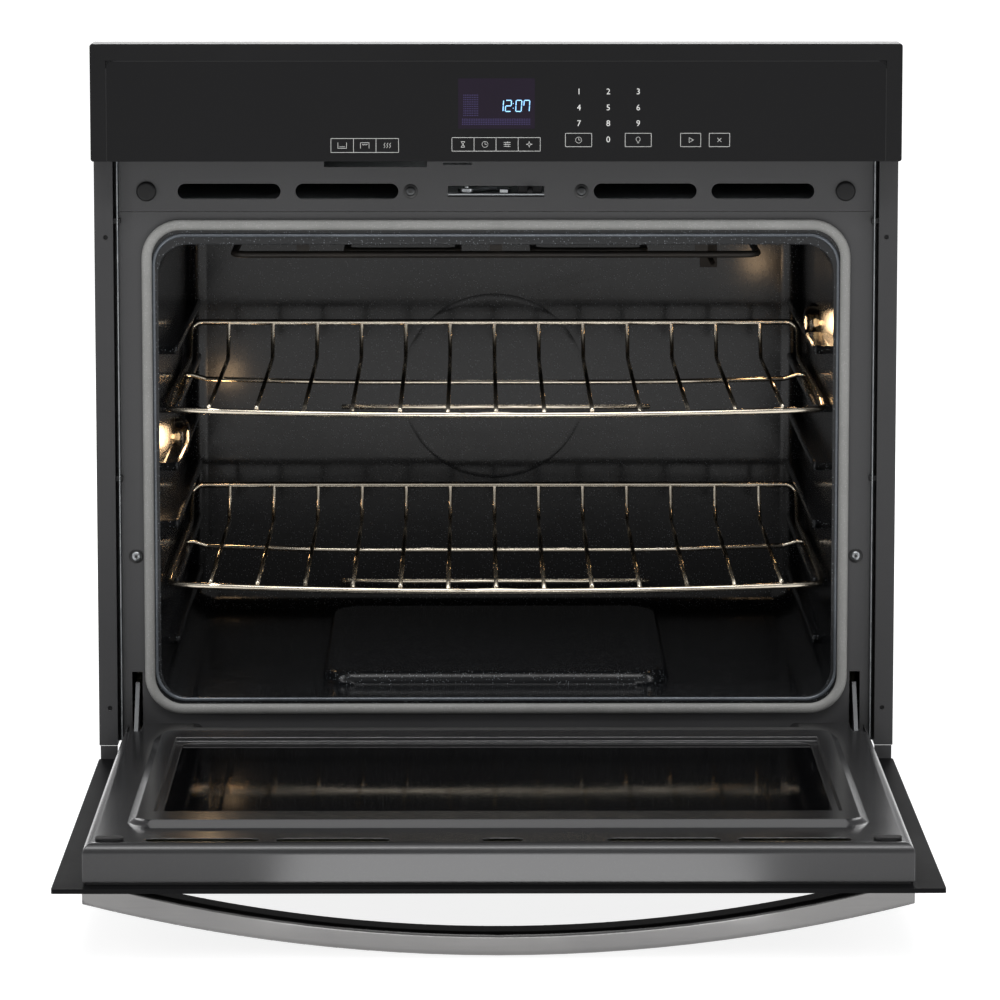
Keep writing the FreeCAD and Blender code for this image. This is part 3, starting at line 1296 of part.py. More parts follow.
def make_switch():
    x = "dims.plunger_x"
    case = block((less(x, "11"), total(x, "11")), (total(frame_back, "5"), total(frame_back, "29")),
                 (less(band_z, "2.2"), total(band_z, "9")))
    bore = rod(total("dims.plunger_radius", "dims.running_gap"), "22", (x, total(frame_back, "4"), total(band_z, "1")), "y")
    keep("door_switch", cut(case, bore, stem="door_switch"))
    tip = less(inner_face, "dims.plunger_reach")
    plunger = rod("dims.plunger_radius", less(total(frame_back, "17"), tip), (x, tip, total(band_z, "1")), "y")
    end = number(tip)
    keep("switch_plunger", rounded(plunger, "1.2", lambda edge: near(edge, "y", end), "switch_plunger"))


# hinges

spring_y = "-18"


def arm_profile():
    """The hinge arm's outline in y and z, from its pin to the back of its receiver."""
    y, z = number(hinge_y), number(hinge_z)
    size = number("dims.arm_round")
    face = number(frame_y)
    top = z + number("dims.arm_top")
    back = face + number("dims.arm_length")
    lean = math.atan2(top - z - size, face - y)
    upper = V(0, y - size * math.sin(lean), z + size * math.cos(lean))
    lower = V(0, y + size * math.sin(0.5), z - size * math.cos(0.5))
    crown = V(0, y - size * math.cos(0.3), z - size * math.sin(0.3))
    shoulder = V(0, face - 1, z + number("dims.hinge_slot_low") + 3)
    points = [upper, V(0, face + 6, top - 2), V(0, back, z + 34), V(0, back, z + 14),
              V(0, face + 4, z + number("dims.hinge_slot_low") + 3), shoulder, lower]
    edges = [Part.makeLine(a, b) for a, b in zip(points, points[1:])]
    edges.append(Part.Arc(lower, crown, upper).toShape())
    return Part.Wire(edges)


def make_hinge(side, sign):
    x = hinge_x if sign > 0 else minus(hinge_x)
    centre = number(x)
    thick = number("dims.arm_thick")
    arm = Part.Face(arm_profile()).extrude(V(thick, 0, 0))
    arm.translate(V(centre - thick / 2, 0, 0))
    hole = number("dims.hinge_pin") + number("dims.running_gap")
    arm = arm.cut(Part.makeCylinder(hole, thick + 2, V(centre - thick / 2 - 1, number(hinge_y), number(hinge_z)),
                                    V(1, 0, 0)))
    roller = V(centre - thick / 2 - 1, number(total(frame_y, "34")), number(total(hinge_z, "24")))
    arm = arm.cut(Part.makeCylinder(number("4.2"), thick + 2, roller, V(1, 0, 0)))
    keep(f"hinge_arm_{side}", free(f"hinge_arm_{side}", arm))
    reach = half("dims.channel_width")
    wall = "dims.channel_wall"
    y = (total(frame_back, "0.5"), total(frame_y, "dims.arm_length", "-4"))
    z = (total(hinge_z, "2"), total(hinge_z, "dims.hinge_slot_high", "4"))
    left, right = less(x, reach), total(x, reach)
    walls = [block((left, total(left, wall)), y, z), block((less(right, wall), right), y, z),
             block((left, right), y, (less(z[1], wall), z[1]))]
    pin = rod("4", "dims.channel_width", (left, total(frame_y, "34"), total(hinge_z, "24")), "x")
    keep(f"hinge_receiver_{side}", fuse(*walls, pin, stem="hinge_receiver"))
    low = total(door_low, gauge, "0.2")
    high = total(hinge_z, "dims.channel_length")
    front, back = total(frame_plate, "0.2"), "-5"
    sides = [block((left, total(left, wall)), (front, back), (low, high)),
             block((less(right, wall), right), (front, back), (low, high)),
             block((left, right), (front, total(front, wall)), (low, high)),
             rod("dims.hinge_pin", "dims.channel_width", (left, hinge_y, hinge_z), "x")]
    anchor = rod("2", "dims.channel_width", (left, spring_y, less(high, "14")), "x")
    foot = rod("2", "dims.channel_width", (left, spring_y, total(hinge_z, "60")), "x")
    keep_door(f"hinge_channel_{side}", fuse(*sides, anchor, foot, stem="hinge_channel"))


def make_springs():
    """A counterbalance spring in each hinge channel, stretched as it is with the door open."""
    low, high = number(total(hinge_z, "64")), number(total(hinge_z, "dims.channel_length", "-18"))
    size = number("dims.spring_radius")
    turns = 20
    springs = []
    for sign in (-1, 1):
        coil = Part.makeHelix((high - low) / turns, high - low, size)
        section = Part.Wire(Part.Circle(V(size, 0, 0), V(0, 1, 0), number("dims.spring_wire")).toShape())
        spring = Part.Wire(coil).makePipeShell([section], True, True)
        spring.translate(V(sign * number(hinge_x), number(spring_y), low))
        springs.append(spring)
    keep_door("hinge_springs", free("hinge_springs", Part.makeCompound(springs)))


# conduit box

def make_conduit_box():
    x, z = less(side_out, "dims.cable_side"), less(roof, "dims.cable_drop")
    size = "34"
    skin = "1.2"
    back = less(rear, gauge)
    box = block((less(x, size), total(x, size)), (less(back, "60"), back), (less(z, "30"), total(z, "30")))
    room = block((less(x, size, "-1.2"), total(x, size, "-1.2")), (less(back, "58.8"), less(back, skin)),
                 (less(z, "28.8"), total(z, "28.8")))
    neck = rod("11", "22", (x, less(back, skin), z), "y")
    nut = rod("15", "4", (x, rear, z), "y")
    bore = rod("8", "40", (x, less(back, "10"), z), "y")
    keep("conduit_box", cut(fuse(cut(box, room), neck, nut), bore, stem="conduit_box"))


# door

def liner_solid(skin):
    """The liner's drawn shape; skin is taken off for the inside of the sheet."""
    face = less(inner_face, skin)
    low = total(door_low, skin)
    base = block(both(less(liner_half, skin)), (total(frame_plate, minus(skin)), face), (low, less(liner_high, skin)))
    reach = total(less(liner_half, "dims.liner_foot"), skin)
    bay = block(both(reach), (total(frame_plate, "-5"), "20"), (less(low, "5"), total(low, "dims.liner_step")))
    pan = cut(base, bay)
    level = number(face)
    pan = rounded(pan, less("dims.liner_round", skin), lambda edge: near(edge, "y", level), "pan")
    plateau = total(face, "dims.ring_height")
    raised = ring_frustum(less(ring_half, skin), total(ring_floor, skin), less(ring_roof, skin), face, plateau)
    solid = fuse(pan, raised)
    step = block(both(total(step_half, skin)), (less(step_y, skin), "30"),
                 (less(step_floor, skin), total(step_roof, skin)))
    return cut(solid, step, stem="liner_solid")


def ring_frustum(across, low, high, base, top):
    """A raised plate with sloping sides and rounded corners."""
    wide, floor, ceiling = number(across), number(low), number(high)
    slope = number("dims.ring_slope")
    wires = []
    for y, inset, corner in ((number(base) - 0.5, 0.0, 22.0), (number(top), slope, 14.0)):
        x, z0, z1 = wide - inset, floor + inset, ceiling - inset
        points = [V(-x, y, z0), V(x, y, z0), V(x, y, z1), V(-x, y, z1)]
        wires.append(bent_path(points, corner, closed=True))
    return free("ring_plate", Part.makeLoft(wires, True, True))


def make_door_liner():
    shell = cut(liner_solid("0"), liner_solid(gauge), stem="liner_shell")
    window = rounded_block(both(window_half), ("-20", "20"), (window_floor, window_roof), "12", "y")
    cutters = [window]
    for left, right in slot_spans():
        cutters.append(stadium_block(left, right))
    cutters.append(stadium_block("-1 * dims.catch_left", "dims.catch_right"))
    for x in mirrored_pair(hinge_x):
        way = total(half("dims.arm_thick"), "5")
        cutters.append(block((less(x, way), total(x, way)), (total(frame_plate, "-5"), "10"),
                             (less(door_low, "20"), total(hinge_z, "42"))))
    tongue = []
    for across in ((minus(less(liner_half, "12")), minus(less(liner_half, less("dims.liner_foot", "8")))),
                   (less(liner_half, less("dims.liner_foot", "8")), less(liner_half, "12"))):
        tongue.append(block(across, (less(inner_face, "dims.liner_round", "1"), less(inner_face, "dims.liner_round")),
                            (less(door_low, "dims.tongue"), total(door_low, "0.5"))))
    keep_door("door_liner", cut(fuse(shell, *tongue), *cutters, stem="door_liner"))


def stadium_block(left, right):
    """A round-ended cutter through the door's inner face at the vent slots' height."""
    y = (less(inner_face, "5"), total(inner_face, "5"))
    middle = block((total(left, slot_half), less(right, slot_half)), y, (less(band_z, slot_half), total(band_z, slot_half)))
    ends = [rod(slot_half, "10", (x, y[0], band_z), "y") for x in (total(left, slot_half), less(right, slot_half))]
    return fuse(middle, *ends)


def handle_screw_places():
    x = less(handle_half, half("dims.handle_foot"))
    return [(s, handle_z) for s in mirrored_pair(x)]


def make_door_front():
    """Outer glass and the steel frame it is bonded to."""
    glass = rounded_block(both(face_half), (panel_y, door_back), (door_low, door_top), "2.5", "y", "outer_glass")
    holes = [rod(total("dims.screw_radius", "0.4"), "12", (x, less(panel_y, "2"), z), "y") for x, z in handle_screw_places()]
    keep_door("door_outer_glass", cut(glass, *holes, stem="door_outer_glass"))
    edge = less(liner_half, "3")
    plate = block(both(edge), (door_back, frame_plate), (total(door_low, "3"), less(liner_high, "3")))
    window = block(both(step_half), (less(door_back, "5"), total(frame_plate, "5")), (step_floor, step_roof))
    ways = [rod(screw_hole, "12", (x, less(door_back, "2"), z), "y") for x, z in handle_screw_places()]
    keep_door("door_frame", cut(plate, window, *ways, stem="door_frame"))


def make_door_panes():
    pane_back = step_y_inside()
    inner = (less(pane_back, "dims.pane_thick"), pane_back)
    across, up = both(step_half), (step_floor, step_roof)
    keep_door("door_inner_pane", rounded_block(across, inner, up, "1.5", "y", "pane"))
    middle = (less(inner[0], "dims.pane_space", "dims.pane_thick"), less(inner[0], "dims.pane_space"))
    keep_door("door_middle_pane", rounded_block(across, middle, up, "1.5", "y", "pane"))
    wide = total(step_half, "dims.retainer_width")
    tall = (less(step_floor, "dims.retainer_width"), total(step_roof, "dims.retainer_width"))
    ring_y = (less(middle[0], "4"), inner[0])
    frame = block(both(wide), ring_y, tall)
    opening = block(both(window_half), (less(ring_y[0], "5"), total(ring_y[1], "5")), (window_floor, window_roof))
    groove = block(across, middle, up)
    keep_door("window_retainer", cut(frame, opening, groove, stem="window_retainer"))
    blanket_out = less(hinge_x, half("dims.channel_width"), "2")
    blanket = block(both(blanket_out), (total(frame_plate, "1"), less(inner_face, gauge, "3")),
                    (total(door_low, "dims.liner_step", "4"), less(band_z, slot_half, "6")))
    hollow = block(both(total(wide, "1")), (less(frame_plate, "5"), "10"), (less(tall[0], "1"), total(tall[1], "1")))
    keep_door("door_insulation", cut(blanket, hollow, stem="door_insulation"))


def step_y_inside():
    """The back of the liner's sheet round the window."""
    return less(step_y, gauge)


def make_handle():
    """A bowed bar whose ends lie on the door's face."""
    face = number(panel_y)
    end, foot = number(handle_half), number("dims.handle_foot")
    front = face - number("dims.handle_reach")
    inside = face - number("dims.handle_inside")
    tip = face - number("dims.handle_end")
    low = number(less(handle_z, half("dims.handle_height")))
    edges = [Part.makeLine(V(-end, face, low), V(foot - end, face, low)),
             Part.Arc(V(foot - end, face, low), V(0, inside, low), V(end - foot, face, low)).toShape(),
             Part.makeLine(V(end - foot, face, low), V(end, face, low)),
             Part.makeLine(V(end, face, low), V(end, tip, low)),
             Part.Arc(V(end, tip, low), V(0, front, low), V(-end, tip, low)).toShape(),
             Part.makeLine(V(-end, tip, low), V(-end, face, low))]
    bar = Part.Face(Part.Wire(edges)).extrude(V(0, 0, number("dims.handle_height")))
    long_edges = [edge for edge in bar.Edges if edge.Length > 100 and not along(edge, "z")]
    bar = bar.makeFillet(5.0, long_edges)
    for x, z in handle_screw_places():
        hole = Part.makeCylinder(number("dims.screw_radius") + 0.1, 14, V(number(x), face + 1, number(z)), V(0, -1, 0))
        bar = bar.cut(hole)
    keep_door("handle_bar", free("handle_bar", bar))
    screws = []
    for x, z in handle_screw_places():
        shank = rod("dims.screw_radius", "18", (x, less(frame_plate, "18"), z), "y")
        screws.append(fuse(shank, rod("dims.screw_head_radius", "2", (x, frame_plate, z), "y")))
    keep_door("handle_screws", group(*screws, stem="handle_screws"))


def make_door_buffers():
    buffers = []
    for x in mirrored_pair(less(buffer_x, "-1")):
        y = (inner_face, total(inner_face, "2.6"))
        middle = block((less(x, "6"), total(x, "6")), y, (less(band_z, "6"), total(band_z, "6")))
        ends = [rod("6", "2.6", (total(x, shift), inner_face, band_z), "y") for shift in ("-6", "6")]
        buffers.append(fuse(middle, *ends))
    keep_door("door_buffers", group(*buffers, stem="door_buffers"))


def open_door():
    """Turns every door piece about the hinge axis, from shut to the angle it is drawn at."""
    centre = V(0, number(hinge_y), number(hinge_z))
    turn = FreeCAD.Rotation(V(1, 0, 0), number("dims.door_angle"))
    swing = FreeCAD.Placement(V(), turn, centre)
    for piece in door_pieces:
        piece.Placement = swing.multiply(piece.Placement)


def make_all():
    make_base_pan()
    make_top_cover()
    make_rear_cover()
    make_bottom_trim()
    make_front_frame()
    make_vent_band()
    make_control_panel()
    make_cavity_liner()
    make_lamps()
    make_gasket()
    make_elements()
    make_sensor()
    make_insulation()
    make_racks()
    make_blower()
    make_latch()
    make_switch()
    make_conduit_box()
    make_door_liner()
    make_door_front()
    make_door_panes()
    make_handle()
    make_door_buffers()
    for side, sign in (("left", -1), ("right", 1)):
        make_side_panel(side, sign)
        make_side_trim(side, sign)
        make_hinge(side, sign)
    make_springs()
    doc.recompute()
    open_door()
    doc.recompute()


def check_document():
    for item in doc.Objects:
        if {"Invalid", "Error"} & set(item.State):
            raise RuntimeError(f"{item.Label} failed: {item.State}")
    for label, item in nodes.items():
        if item.Shape.isNull() or not item.Shape.isValid():
            raise RuntimeError(f"{label} has no valid shape")


make_all()
check_document()
os.makedirs("parts", exist_ok=True)
for label, item in nodes.items():
    item.Shape.exportStep(f"parts/{label}.step")
print(len(nodes), "sub-parts written")
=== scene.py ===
import json
import math

import bmesh
import bpy
from mathutils import Matrix, Vector

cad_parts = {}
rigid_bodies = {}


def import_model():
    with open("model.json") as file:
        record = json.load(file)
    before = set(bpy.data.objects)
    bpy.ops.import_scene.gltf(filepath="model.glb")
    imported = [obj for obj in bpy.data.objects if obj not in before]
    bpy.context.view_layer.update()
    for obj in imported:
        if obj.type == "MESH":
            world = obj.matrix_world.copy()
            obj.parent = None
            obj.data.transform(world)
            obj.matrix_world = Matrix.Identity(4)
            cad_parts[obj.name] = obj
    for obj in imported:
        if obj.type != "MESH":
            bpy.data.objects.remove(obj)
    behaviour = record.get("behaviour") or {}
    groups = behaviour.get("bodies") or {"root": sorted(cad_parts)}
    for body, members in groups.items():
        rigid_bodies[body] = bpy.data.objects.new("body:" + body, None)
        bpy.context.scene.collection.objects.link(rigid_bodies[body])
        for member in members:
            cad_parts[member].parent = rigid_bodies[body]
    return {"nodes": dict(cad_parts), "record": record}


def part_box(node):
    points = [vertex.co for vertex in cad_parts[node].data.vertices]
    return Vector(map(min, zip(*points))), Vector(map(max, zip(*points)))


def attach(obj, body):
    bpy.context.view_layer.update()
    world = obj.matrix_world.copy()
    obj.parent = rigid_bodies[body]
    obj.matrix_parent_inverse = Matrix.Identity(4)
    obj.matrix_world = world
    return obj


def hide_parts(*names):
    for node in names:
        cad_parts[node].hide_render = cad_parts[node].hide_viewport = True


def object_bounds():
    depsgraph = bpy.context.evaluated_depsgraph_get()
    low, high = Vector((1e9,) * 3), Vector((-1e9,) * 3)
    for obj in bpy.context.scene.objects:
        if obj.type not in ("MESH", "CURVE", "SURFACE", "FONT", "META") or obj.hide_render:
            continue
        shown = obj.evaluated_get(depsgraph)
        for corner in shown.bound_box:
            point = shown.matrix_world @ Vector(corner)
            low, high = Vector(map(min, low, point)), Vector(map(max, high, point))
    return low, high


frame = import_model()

scene = bpy.context.scene
nodes = frame["nodes"]
bodyOf = {n: b for b, members in frame["record"]["behaviour"]["bodies"].items() for n in members}
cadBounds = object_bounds()
mm = 0.001
print("frame loaded with", len(nodes), "parts")

for thing in [t for t in bpy.data.objects if t.name in ("Cube", "Light", "Camera")]:
    bpy.data.objects.remove(thing)  # nothing of the default scene stays


# camera and light

cameraSetup = {"place": (-0.0189, -4.7541, 0.9898), "down": 7.363, "turn": 0.272, "lens": 182.58,
               "shift": -0.1, "clip": (0.1, 200)}
camera = bpy.data.objects.new("ovenCamera", bpy.data.cameras.new("ovenCamera"))
camera.location = cameraSetup["place"]
camera.rotation_euler = (math.radians(90 - cameraSetup["down"]), 0, -math.radians(cameraSetup["turn"]))
camera.data.lens = cameraSetup["lens"]
camera.data.shift_y = cameraSetup["shift"]
camera.data.clip_start, camera.data.clip_end = cameraSetup["clip"]
scene.collection.objects.link(camera)
scene.camera = camera
scene.view_settings.view_transform = "Standard"

lights = {  # place, aim, size, power in watts
    "overheadBox": ((0.0, -1.7, 2.6), (0.0, -0.5, 0.1), (2.6, 0.5), 26),
    "leftBox": ((-2.7, -1.7, 1.3), (0.0, 0.0, 0.3), (0.5, 2.2), 16),
    "rightBox": ((2.7, -1.7, 1.3), (0.0, 0.0, 0.3), (0.5, 2.2), 16),
    "floorBox": ((0.02, -0.95, -0.034), (0.02, -0.95, 0.5), (0.44, 0.50), 3.0),  # reaches the door's front end
    "rearBox": ((0.0, 3.4, 2.0), (0.0, 0.4, 0.4), (2.4, 1.4), 40),
}
for label, (place, aim, size, power) in lights.items():
    lamp = bpy.data.lights.new(label, "AREA")
    lamp.shape = "RECTANGLE"
    lamp.size, lamp.size_y = size
    lamp.energy = power
    holder = bpy.data.objects.new(label, lamp)
    holder.location = place
    holder.rotation_euler = (Vector(aim) - Vector(place)).to_track_quat("-Z", "Y").to_euler()
    holder.visible_camera = False
    scene.collection.objects.link(holder)

daylight = {"strength": 1.1, "softness": 50, "lean": 20}  # a very wide, soft sun keeps the floor even
sun = bpy.data.lights.new("softSun", "SUN")
sun.energy = daylight["strength"]
sun.angle = math.radians(daylight["softness"])
sunHolder = bpy.data.objects.new("softSun", sun)
sunHolder.rotation_euler = (math.radians(daylight["lean"]), 0, 0)
scene.collection.objects.link(sunHolder)

lampGlow = {"power": 0.09, "colour": (1.0, 0.66, 0.36), "size": 0.012, "inward": 0.022}
for side, sign in (("Left", -1), ("Right", 1)):  # glow of the two oven lamps
    low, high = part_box("lamp_lens_" + side.lower())
    glow = bpy.data.lights.new("lampGlow" + side, "POINT")
    glow.energy = lampGlow["power"]
    glow.color = lampGlow["colour"]
    glow.shadow_soft_size = lampGlow["size"]
    glowHolder = bpy.data.objects.new("lampGlow" + side, glow)
    middle = (low + high) / 2
    glowHolder.location = (middle.x - sign * lampGlow["inward"], middle.y, middle.z)
    scene.collection.objects.link(glowHolder)


# shader tools

def srgb(code):  # "#rrggbb" to linear
    parts = [int(code[i:i + 2], 16) / 255 for i in (1, 3, 5)]
    return tuple(p / 12.92 if p <= 0.04045 else ((p + 0.055) / 1.055) ** 2.4 for p in parts) + (1.0,)


def addNode(tree, kind, inputs=None, **settings):
    node = tree.nodes.new("ShaderNode" + kind)
    for key, value in settings.items():
        setattr(node, key, value)
    for key, value in (inputs or {}).items():
        if isinstance(value, bpy.types.NodeSocket):
            tree.links.new(value, node.inputs[key])
        else:
            node.inputs[key].default_value = value
    return node


def newGroup(label, inputs, outputs):
    tree = bpy.data.node_groups.new(label, "ShaderNodeTree")
    for name, kind, value in inputs:
        socket = tree.interface.new_socket(name, in_out="INPUT", socket_type="NodeSocket" + kind)
        socket.default_value = value
    for name, kind in outputs:
        tree.interface.new_socket(name, in_out="OUTPUT", socket_type="NodeSocket" + kind)
    return tree, tree.nodes.new("NodeGroupInput").outputs, tree.nodes.new("NodeGroupOutput").inputs


def mixColour(tree, factor, first, second, blend="MIX"):
    node = addNode(tree, "Mix", data_type="RGBA", blend_type=blend)
    for index, value in ((0, factor), (6, first), (7, second)):
        if isinstance(value, bpy.types.NodeSocket):
            tree.links.new(value, node.inputs[index])
        else:
            node.inputs[index].default_value = value
    return node.outputs[2]


def makeSmudges():  # slow variation from handling and cleaning
    tree, given, out = newGroup("smudges",
                                [("Scale", "Float", 6.0), ("Low", "Float", 0.2), ("High", "Float", 0.3)],
                                [("Roughness", "Float"), ("Tone", "Float")])
    where = addNode(tree, "TexCoord").outputs["Object"]
    cloud = addNode(tree, "TexNoise", {"Vector": where, "Scale": given["Scale"], "Detail": 5.0,
                                       "Roughness": 0.62, "Distortion": 0.4})
    spread = addNode(tree, "MapRange", {"Value": cloud.outputs[0], "From Min": 0.3, "From Max": 0.7,
                                        "To Min": given["Low"], "To Max": given["High"]})
    tone = addNode(tree, "MapRange", {"Value": cloud.outputs[0], "From Min": 0.3, "From Max": 0.7})
    tree.links.new(spread.outputs[0], out["Roughness"])
    tree.links.new(tone.outputs[0], out["Tone"])
    return tree


def makeGrain():  # fine surface texture, stretched for brushing or rolling marks
    tree, given, out = newGroup("grain", [("Scale", "Float", 900.0), ("Stretch", "Vector", (1.0, 1.0, 1.0))],
                                [("Height", "Float"), ("Tone", "Float")])
    where = addNode(tree, "TexCoord").outputs["Object"]
    turned = addNode(tree, "Mapping", {"Vector": where, "Scale": given["Stretch"]})
    fine = addNode(tree, "TexNoise", {"Vector": turned.outputs[0], "Scale": given["Scale"], "Detail": 3.0,
                                      "Roughness": 0.55})
    coarse = addNode(tree, "TexNoise", {"Vector": turned.outputs[0], "Scale": 60.0, "Detail": 2.0})
    both = addNode(tree, "Math", {0: fine.outputs[0], 1: coarse.outputs[0]}, operation="ADD")
    halved = addNode(tree, "Math", {0: both.outputs[0], 1: 0.5}, operation="MULTIPLY")
    tree.links.new(fine.outputs[0], out["Height"])
    tree.links.new(halved.outputs[0], out["Tone"])
    return tree


def makeFlecks():  # pale specks fired into enamel
    tree, given, out = newGroup("flecks",
                                [("Scale", "Float", 700.0), ("Size", "Float", 0.3), ("Share", "Float", 0.5)],
                                [("Mask", "Float"), ("Height", "Float")])
    where = addNode(tree, "TexCoord").outputs["Object"]
    cells = addNode(tree, "TexVoronoi", {"Vector": where, "Scale": given["Scale"], "Randomness": 1.0})
    dots = addNode(tree, "MapRange", {"Value": cells.outputs["Distance"], "From Min": given["Size"],
                                      "From Max": 0.05})
    lot = addNode(tree, "SeparateColor", {"Color": cells.outputs["Color"]})
    kept = addNode(tree, "Math", {0: lot.outputs[0], 1: given["Share"]}, operation="LESS_THAN")
    mask = addNode(tree, "Math", {0: dots.outputs[0], 1: kept.outputs[0]}, operation="MULTIPLY")
    tree.links.new(mask.outputs[0], out["Mask"])
    tree.links.new(cells.outputs["Distance"], out["Height"])
    return tree


def makeEdges():  # brighter edges: partly rubbed wear, partly a painted highlight along convex edges
    tree, given, out = newGroup("edgeWearAndHighlight", [("Radius", "Float", 0.0012), ("Strength", "Float", 1.0)],
                                [("Mask", "Float"), ("Normal", "Vector")])
    soft = addNode(tree, "Bevel", {"Radius": given["Radius"]}, samples=4)
    flat = addNode(tree, "NewGeometry")
    match = addNode(tree, "VectorMath", {0: soft.outputs[0], 1: flat.outputs["Normal"]}, operation="DOT_PRODUCT")
    turn = addNode(tree, "MapRange", {"Value": match.outputs["Value"], "From Min": 0.995, "From Max": 0.85})
    where = addNode(tree, "TexCoord").outputs["Object"]
    patchy = addNode(tree, "TexNoise", {"Vector": where, "Scale": 90.0, "Detail": 3.0})
    mottled = addNode(tree, "Math", {0: turn.outputs[0], 1: patchy.outputs[0]}, operation="MULTIPLY")
    mask = addNode(tree, "Math", {0: mottled.outputs[0], 1: given["Strength"]}, operation="MULTIPLY", use_clamp=True)
    tree.links.new(mask.outputs[0], out["Mask"])
    tree.links.new(soft.outputs[0], out["Normal"])
    return tree


def makeSpangle():  # zinc crystals on galvanised sheet
    tree, given, out = newGroup("spangle", [("Scale", "Float", 90.0)], [("Tone", "Float"), ("Height", "Float")])
    where = addNode(tree, "TexCoord").outputs["Object"]
    bent = addNode(tree, "TexNoise", {"Vector": where, "Scale": 40.0, "Detail": 2.0})
    pushed = mixColour(tree, 0.04, where, bent.outputs["Color"])
    cells = addNode(tree, "TexVoronoi", {"Vector": pushed, "Scale": given["Scale"], "Randomness": 1.0})
    tone = addNode(tree, "SeparateColor", {"Color": cells.outputs["Color"]})
    tree.links.new(tone.outputs[0], out["Tone"])
    tree.links.new(tone.outputs[1], out["Height"])
    return tree


groups = {"smudges": makeSmudges(), "grain": makeGrain(), "flecks": makeFlecks(), "edges": makeEdges(),
          "spangle": makeSpangle()}
materials = {}


def useGroup(tree, label, inputs=None):
    node = tree.nodes.new("ShaderNodeGroup")
    node.node_tree = groups[label]
    for key, value in (inputs or {}).items():
        node.inputs[key].default_value = value
    return node.outputs


def newMaterial(label, colour, second, rough, smudge, grain, flecks=None, edge=None, spangle=None, **sockets):
    # grain: scale, stretch, strength, distance; flecks: colour, scale, size, share
    # edge: colour of the worn edges and painted edge highlight, strength, radius; spangle: colour, scale
    material = bpy.data.materials.new(label)
    material.use_nodes = True
    tree = material.node_tree
    shader = tree.nodes["Principled BSDF"]
    for key, value in sockets.items():
        shader.inputs[key.replace("_", " ")].default_value = value
    mottled = useGroup(tree, "smudges", {"Scale": smudge, "Low": rough[0], "High": rough[1]})
    fine = useGroup(tree, "grain", {"Scale": grain[0], "Stretch": grain[1]})
    paint = mixColour(tree, mottled["Tone"], srgb(colour), srgb(second))
    if grain[1] != (1, 1, 1):  # brushed: streaks show in the colour too
        streaks = mixColour(tree, fine["Tone"], (0.25, 0.25, 0.25, 1), (1, 1, 1, 1))
        paint = mixColour(tree, 0.35, paint, streaks, "MULTIPLY")
    height = fine["Height"]
    if flecks:
        dots = useGroup(tree, "flecks", {"Scale": flecks[1], "Size": flecks[2], "Share": flecks[3]})
        paint = mixColour(tree, dots["Mask"], paint, srgb(flecks[0]))
    if spangle:
        crystals = useGroup(tree, "spangle", {"Scale": spangle[1]})
        paint = mixColour(tree, crystals["Tone"], paint, srgb(spangle[0]))
        height = crystals["Height"]
    bump = addNode(tree, "Bump", {"Strength": grain[2], "Distance": grain[3], "Height": height})
    if edge:
        # the edge mask lightens convex edges: partly rubbed wear, partly a painted highlight
        edgeWearAndShine = useGroup(tree, "edges", {"Radius": edge[2], "Strength": edge[1]})
        paint = mixColour(tree, edgeWearAndShine["Mask"], paint, srgb(edge[0]))
        tree.links.new(edgeWearAndShine["Normal"], bump.inputs["Normal"])
    tree.links.new(paint, shader.inputs["Base Color"])
    tree.links.new(mottled["Roughness"], shader.inputs["Roughness"])
    tree.links.new(bump.outputs[0], shader.inputs["Normal"])
    materials[label] = material


newMaterial("galvanisedSheet", "#8d9092", "#a2a5a6", (0.34, 0.5), 4.0, (500, (1, 1, 1), 0.12, 0.0003),
            spangle=("#7b7f82", 110), edge=("#c9cccd", 0.6, 0.0008), Metallic=0.9)
newMaterial("blackPaint", "#303031", "#343435", (0.36, 0.48), 5.0, (1400, (1, 1, 1), 0.15, 0.0002),
            edge=("#505050", 0.4, 0.0007), Specular_IOR_Level=0.3)
newMaterial("frameEnamel", "#3a3a3b", "#3f3f40", (0.3, 0.4), 4.0, (1500, (1, 1, 1), 0.1, 0.0002),
            flecks=("#4a4a4b", 900, 0.24, 0.3), edge=("#727272", 0.6, 0.0007), Specular_IOR_Level=0.35)
newMaterial("bezelPlastic", "#121213", "#151516", (0.3, 0.38), 6.0, (1800, (1, 1, 1), 0.1, 0.0001),
            edge=("#262626", 0.4, 0.0006), Specular_IOR_Level=0.15)
newMaterial("blackGlass", "#131314", "#151516", (0.2, 0.28), 3.0, (40, (1, 1, 1), 0.02, 0.0002),
            edge=("#232526", 0.4, 0.0006), Specular_IOR_Level=0.12)
newMaterial("paneGlass", "#070708", "#0a0a0b", (0.03, 0.06), 3.0, (30, (1, 1, 1), 0.01, 0.0001),
            Specular_IOR_Level=0.5)
newMaterial("lampGlass", "#7d766b", "#8a8376", (0.02, 0.06), 60.0, (300, (1, 1, 1), 0.1, 0.0003),
            Transmission_Weight=1.0, IOR=1.47)
newMaterial("lampBulb", "#ffe9c8", "#fff0d8", (0.2, 0.3), 60.0, (600, (1, 1, 1), 0.1, 0.0002),
            Emission_Color=(1.0, 0.74, 0.45, 1.0), Emission_Strength=3.0)
newMaterial("circuitBoard", "#1d5a34", "#236a3d", (0.35, 0.5), 20.0, (300, (1, 1, 1), 0.2, 0.0003),
            flecks=("#b79a4a", 260, 0.22, 0.5))
newMaterial("cavityEnamel", "#101113", "#151618", (0.12, 0.2), 7.0, (110, (1, 1, 1), 0.08, 0.0004),
            flecks=("#8a8f94", 560, 0.30, 0.42), edge=("#2c3034", 0.4, 0.003), Specular_IOR_Level=0.36)
# the pale edge colour on the liner is mostly a painted highlight along the window ring's stamped edges
newMaterial("linerEnamel", "#2b2b2c", "#303031", (0.16, 0.23), 4.0, (420, (1, 1, 1), 0.05, 0.00006),
            flecks=("#434445", 800, 0.25, 0.35), edge=("#8e8e8e", 0.7, 0.0016), Metallic=0.3,
            Specular_IOR_Level=0.6)
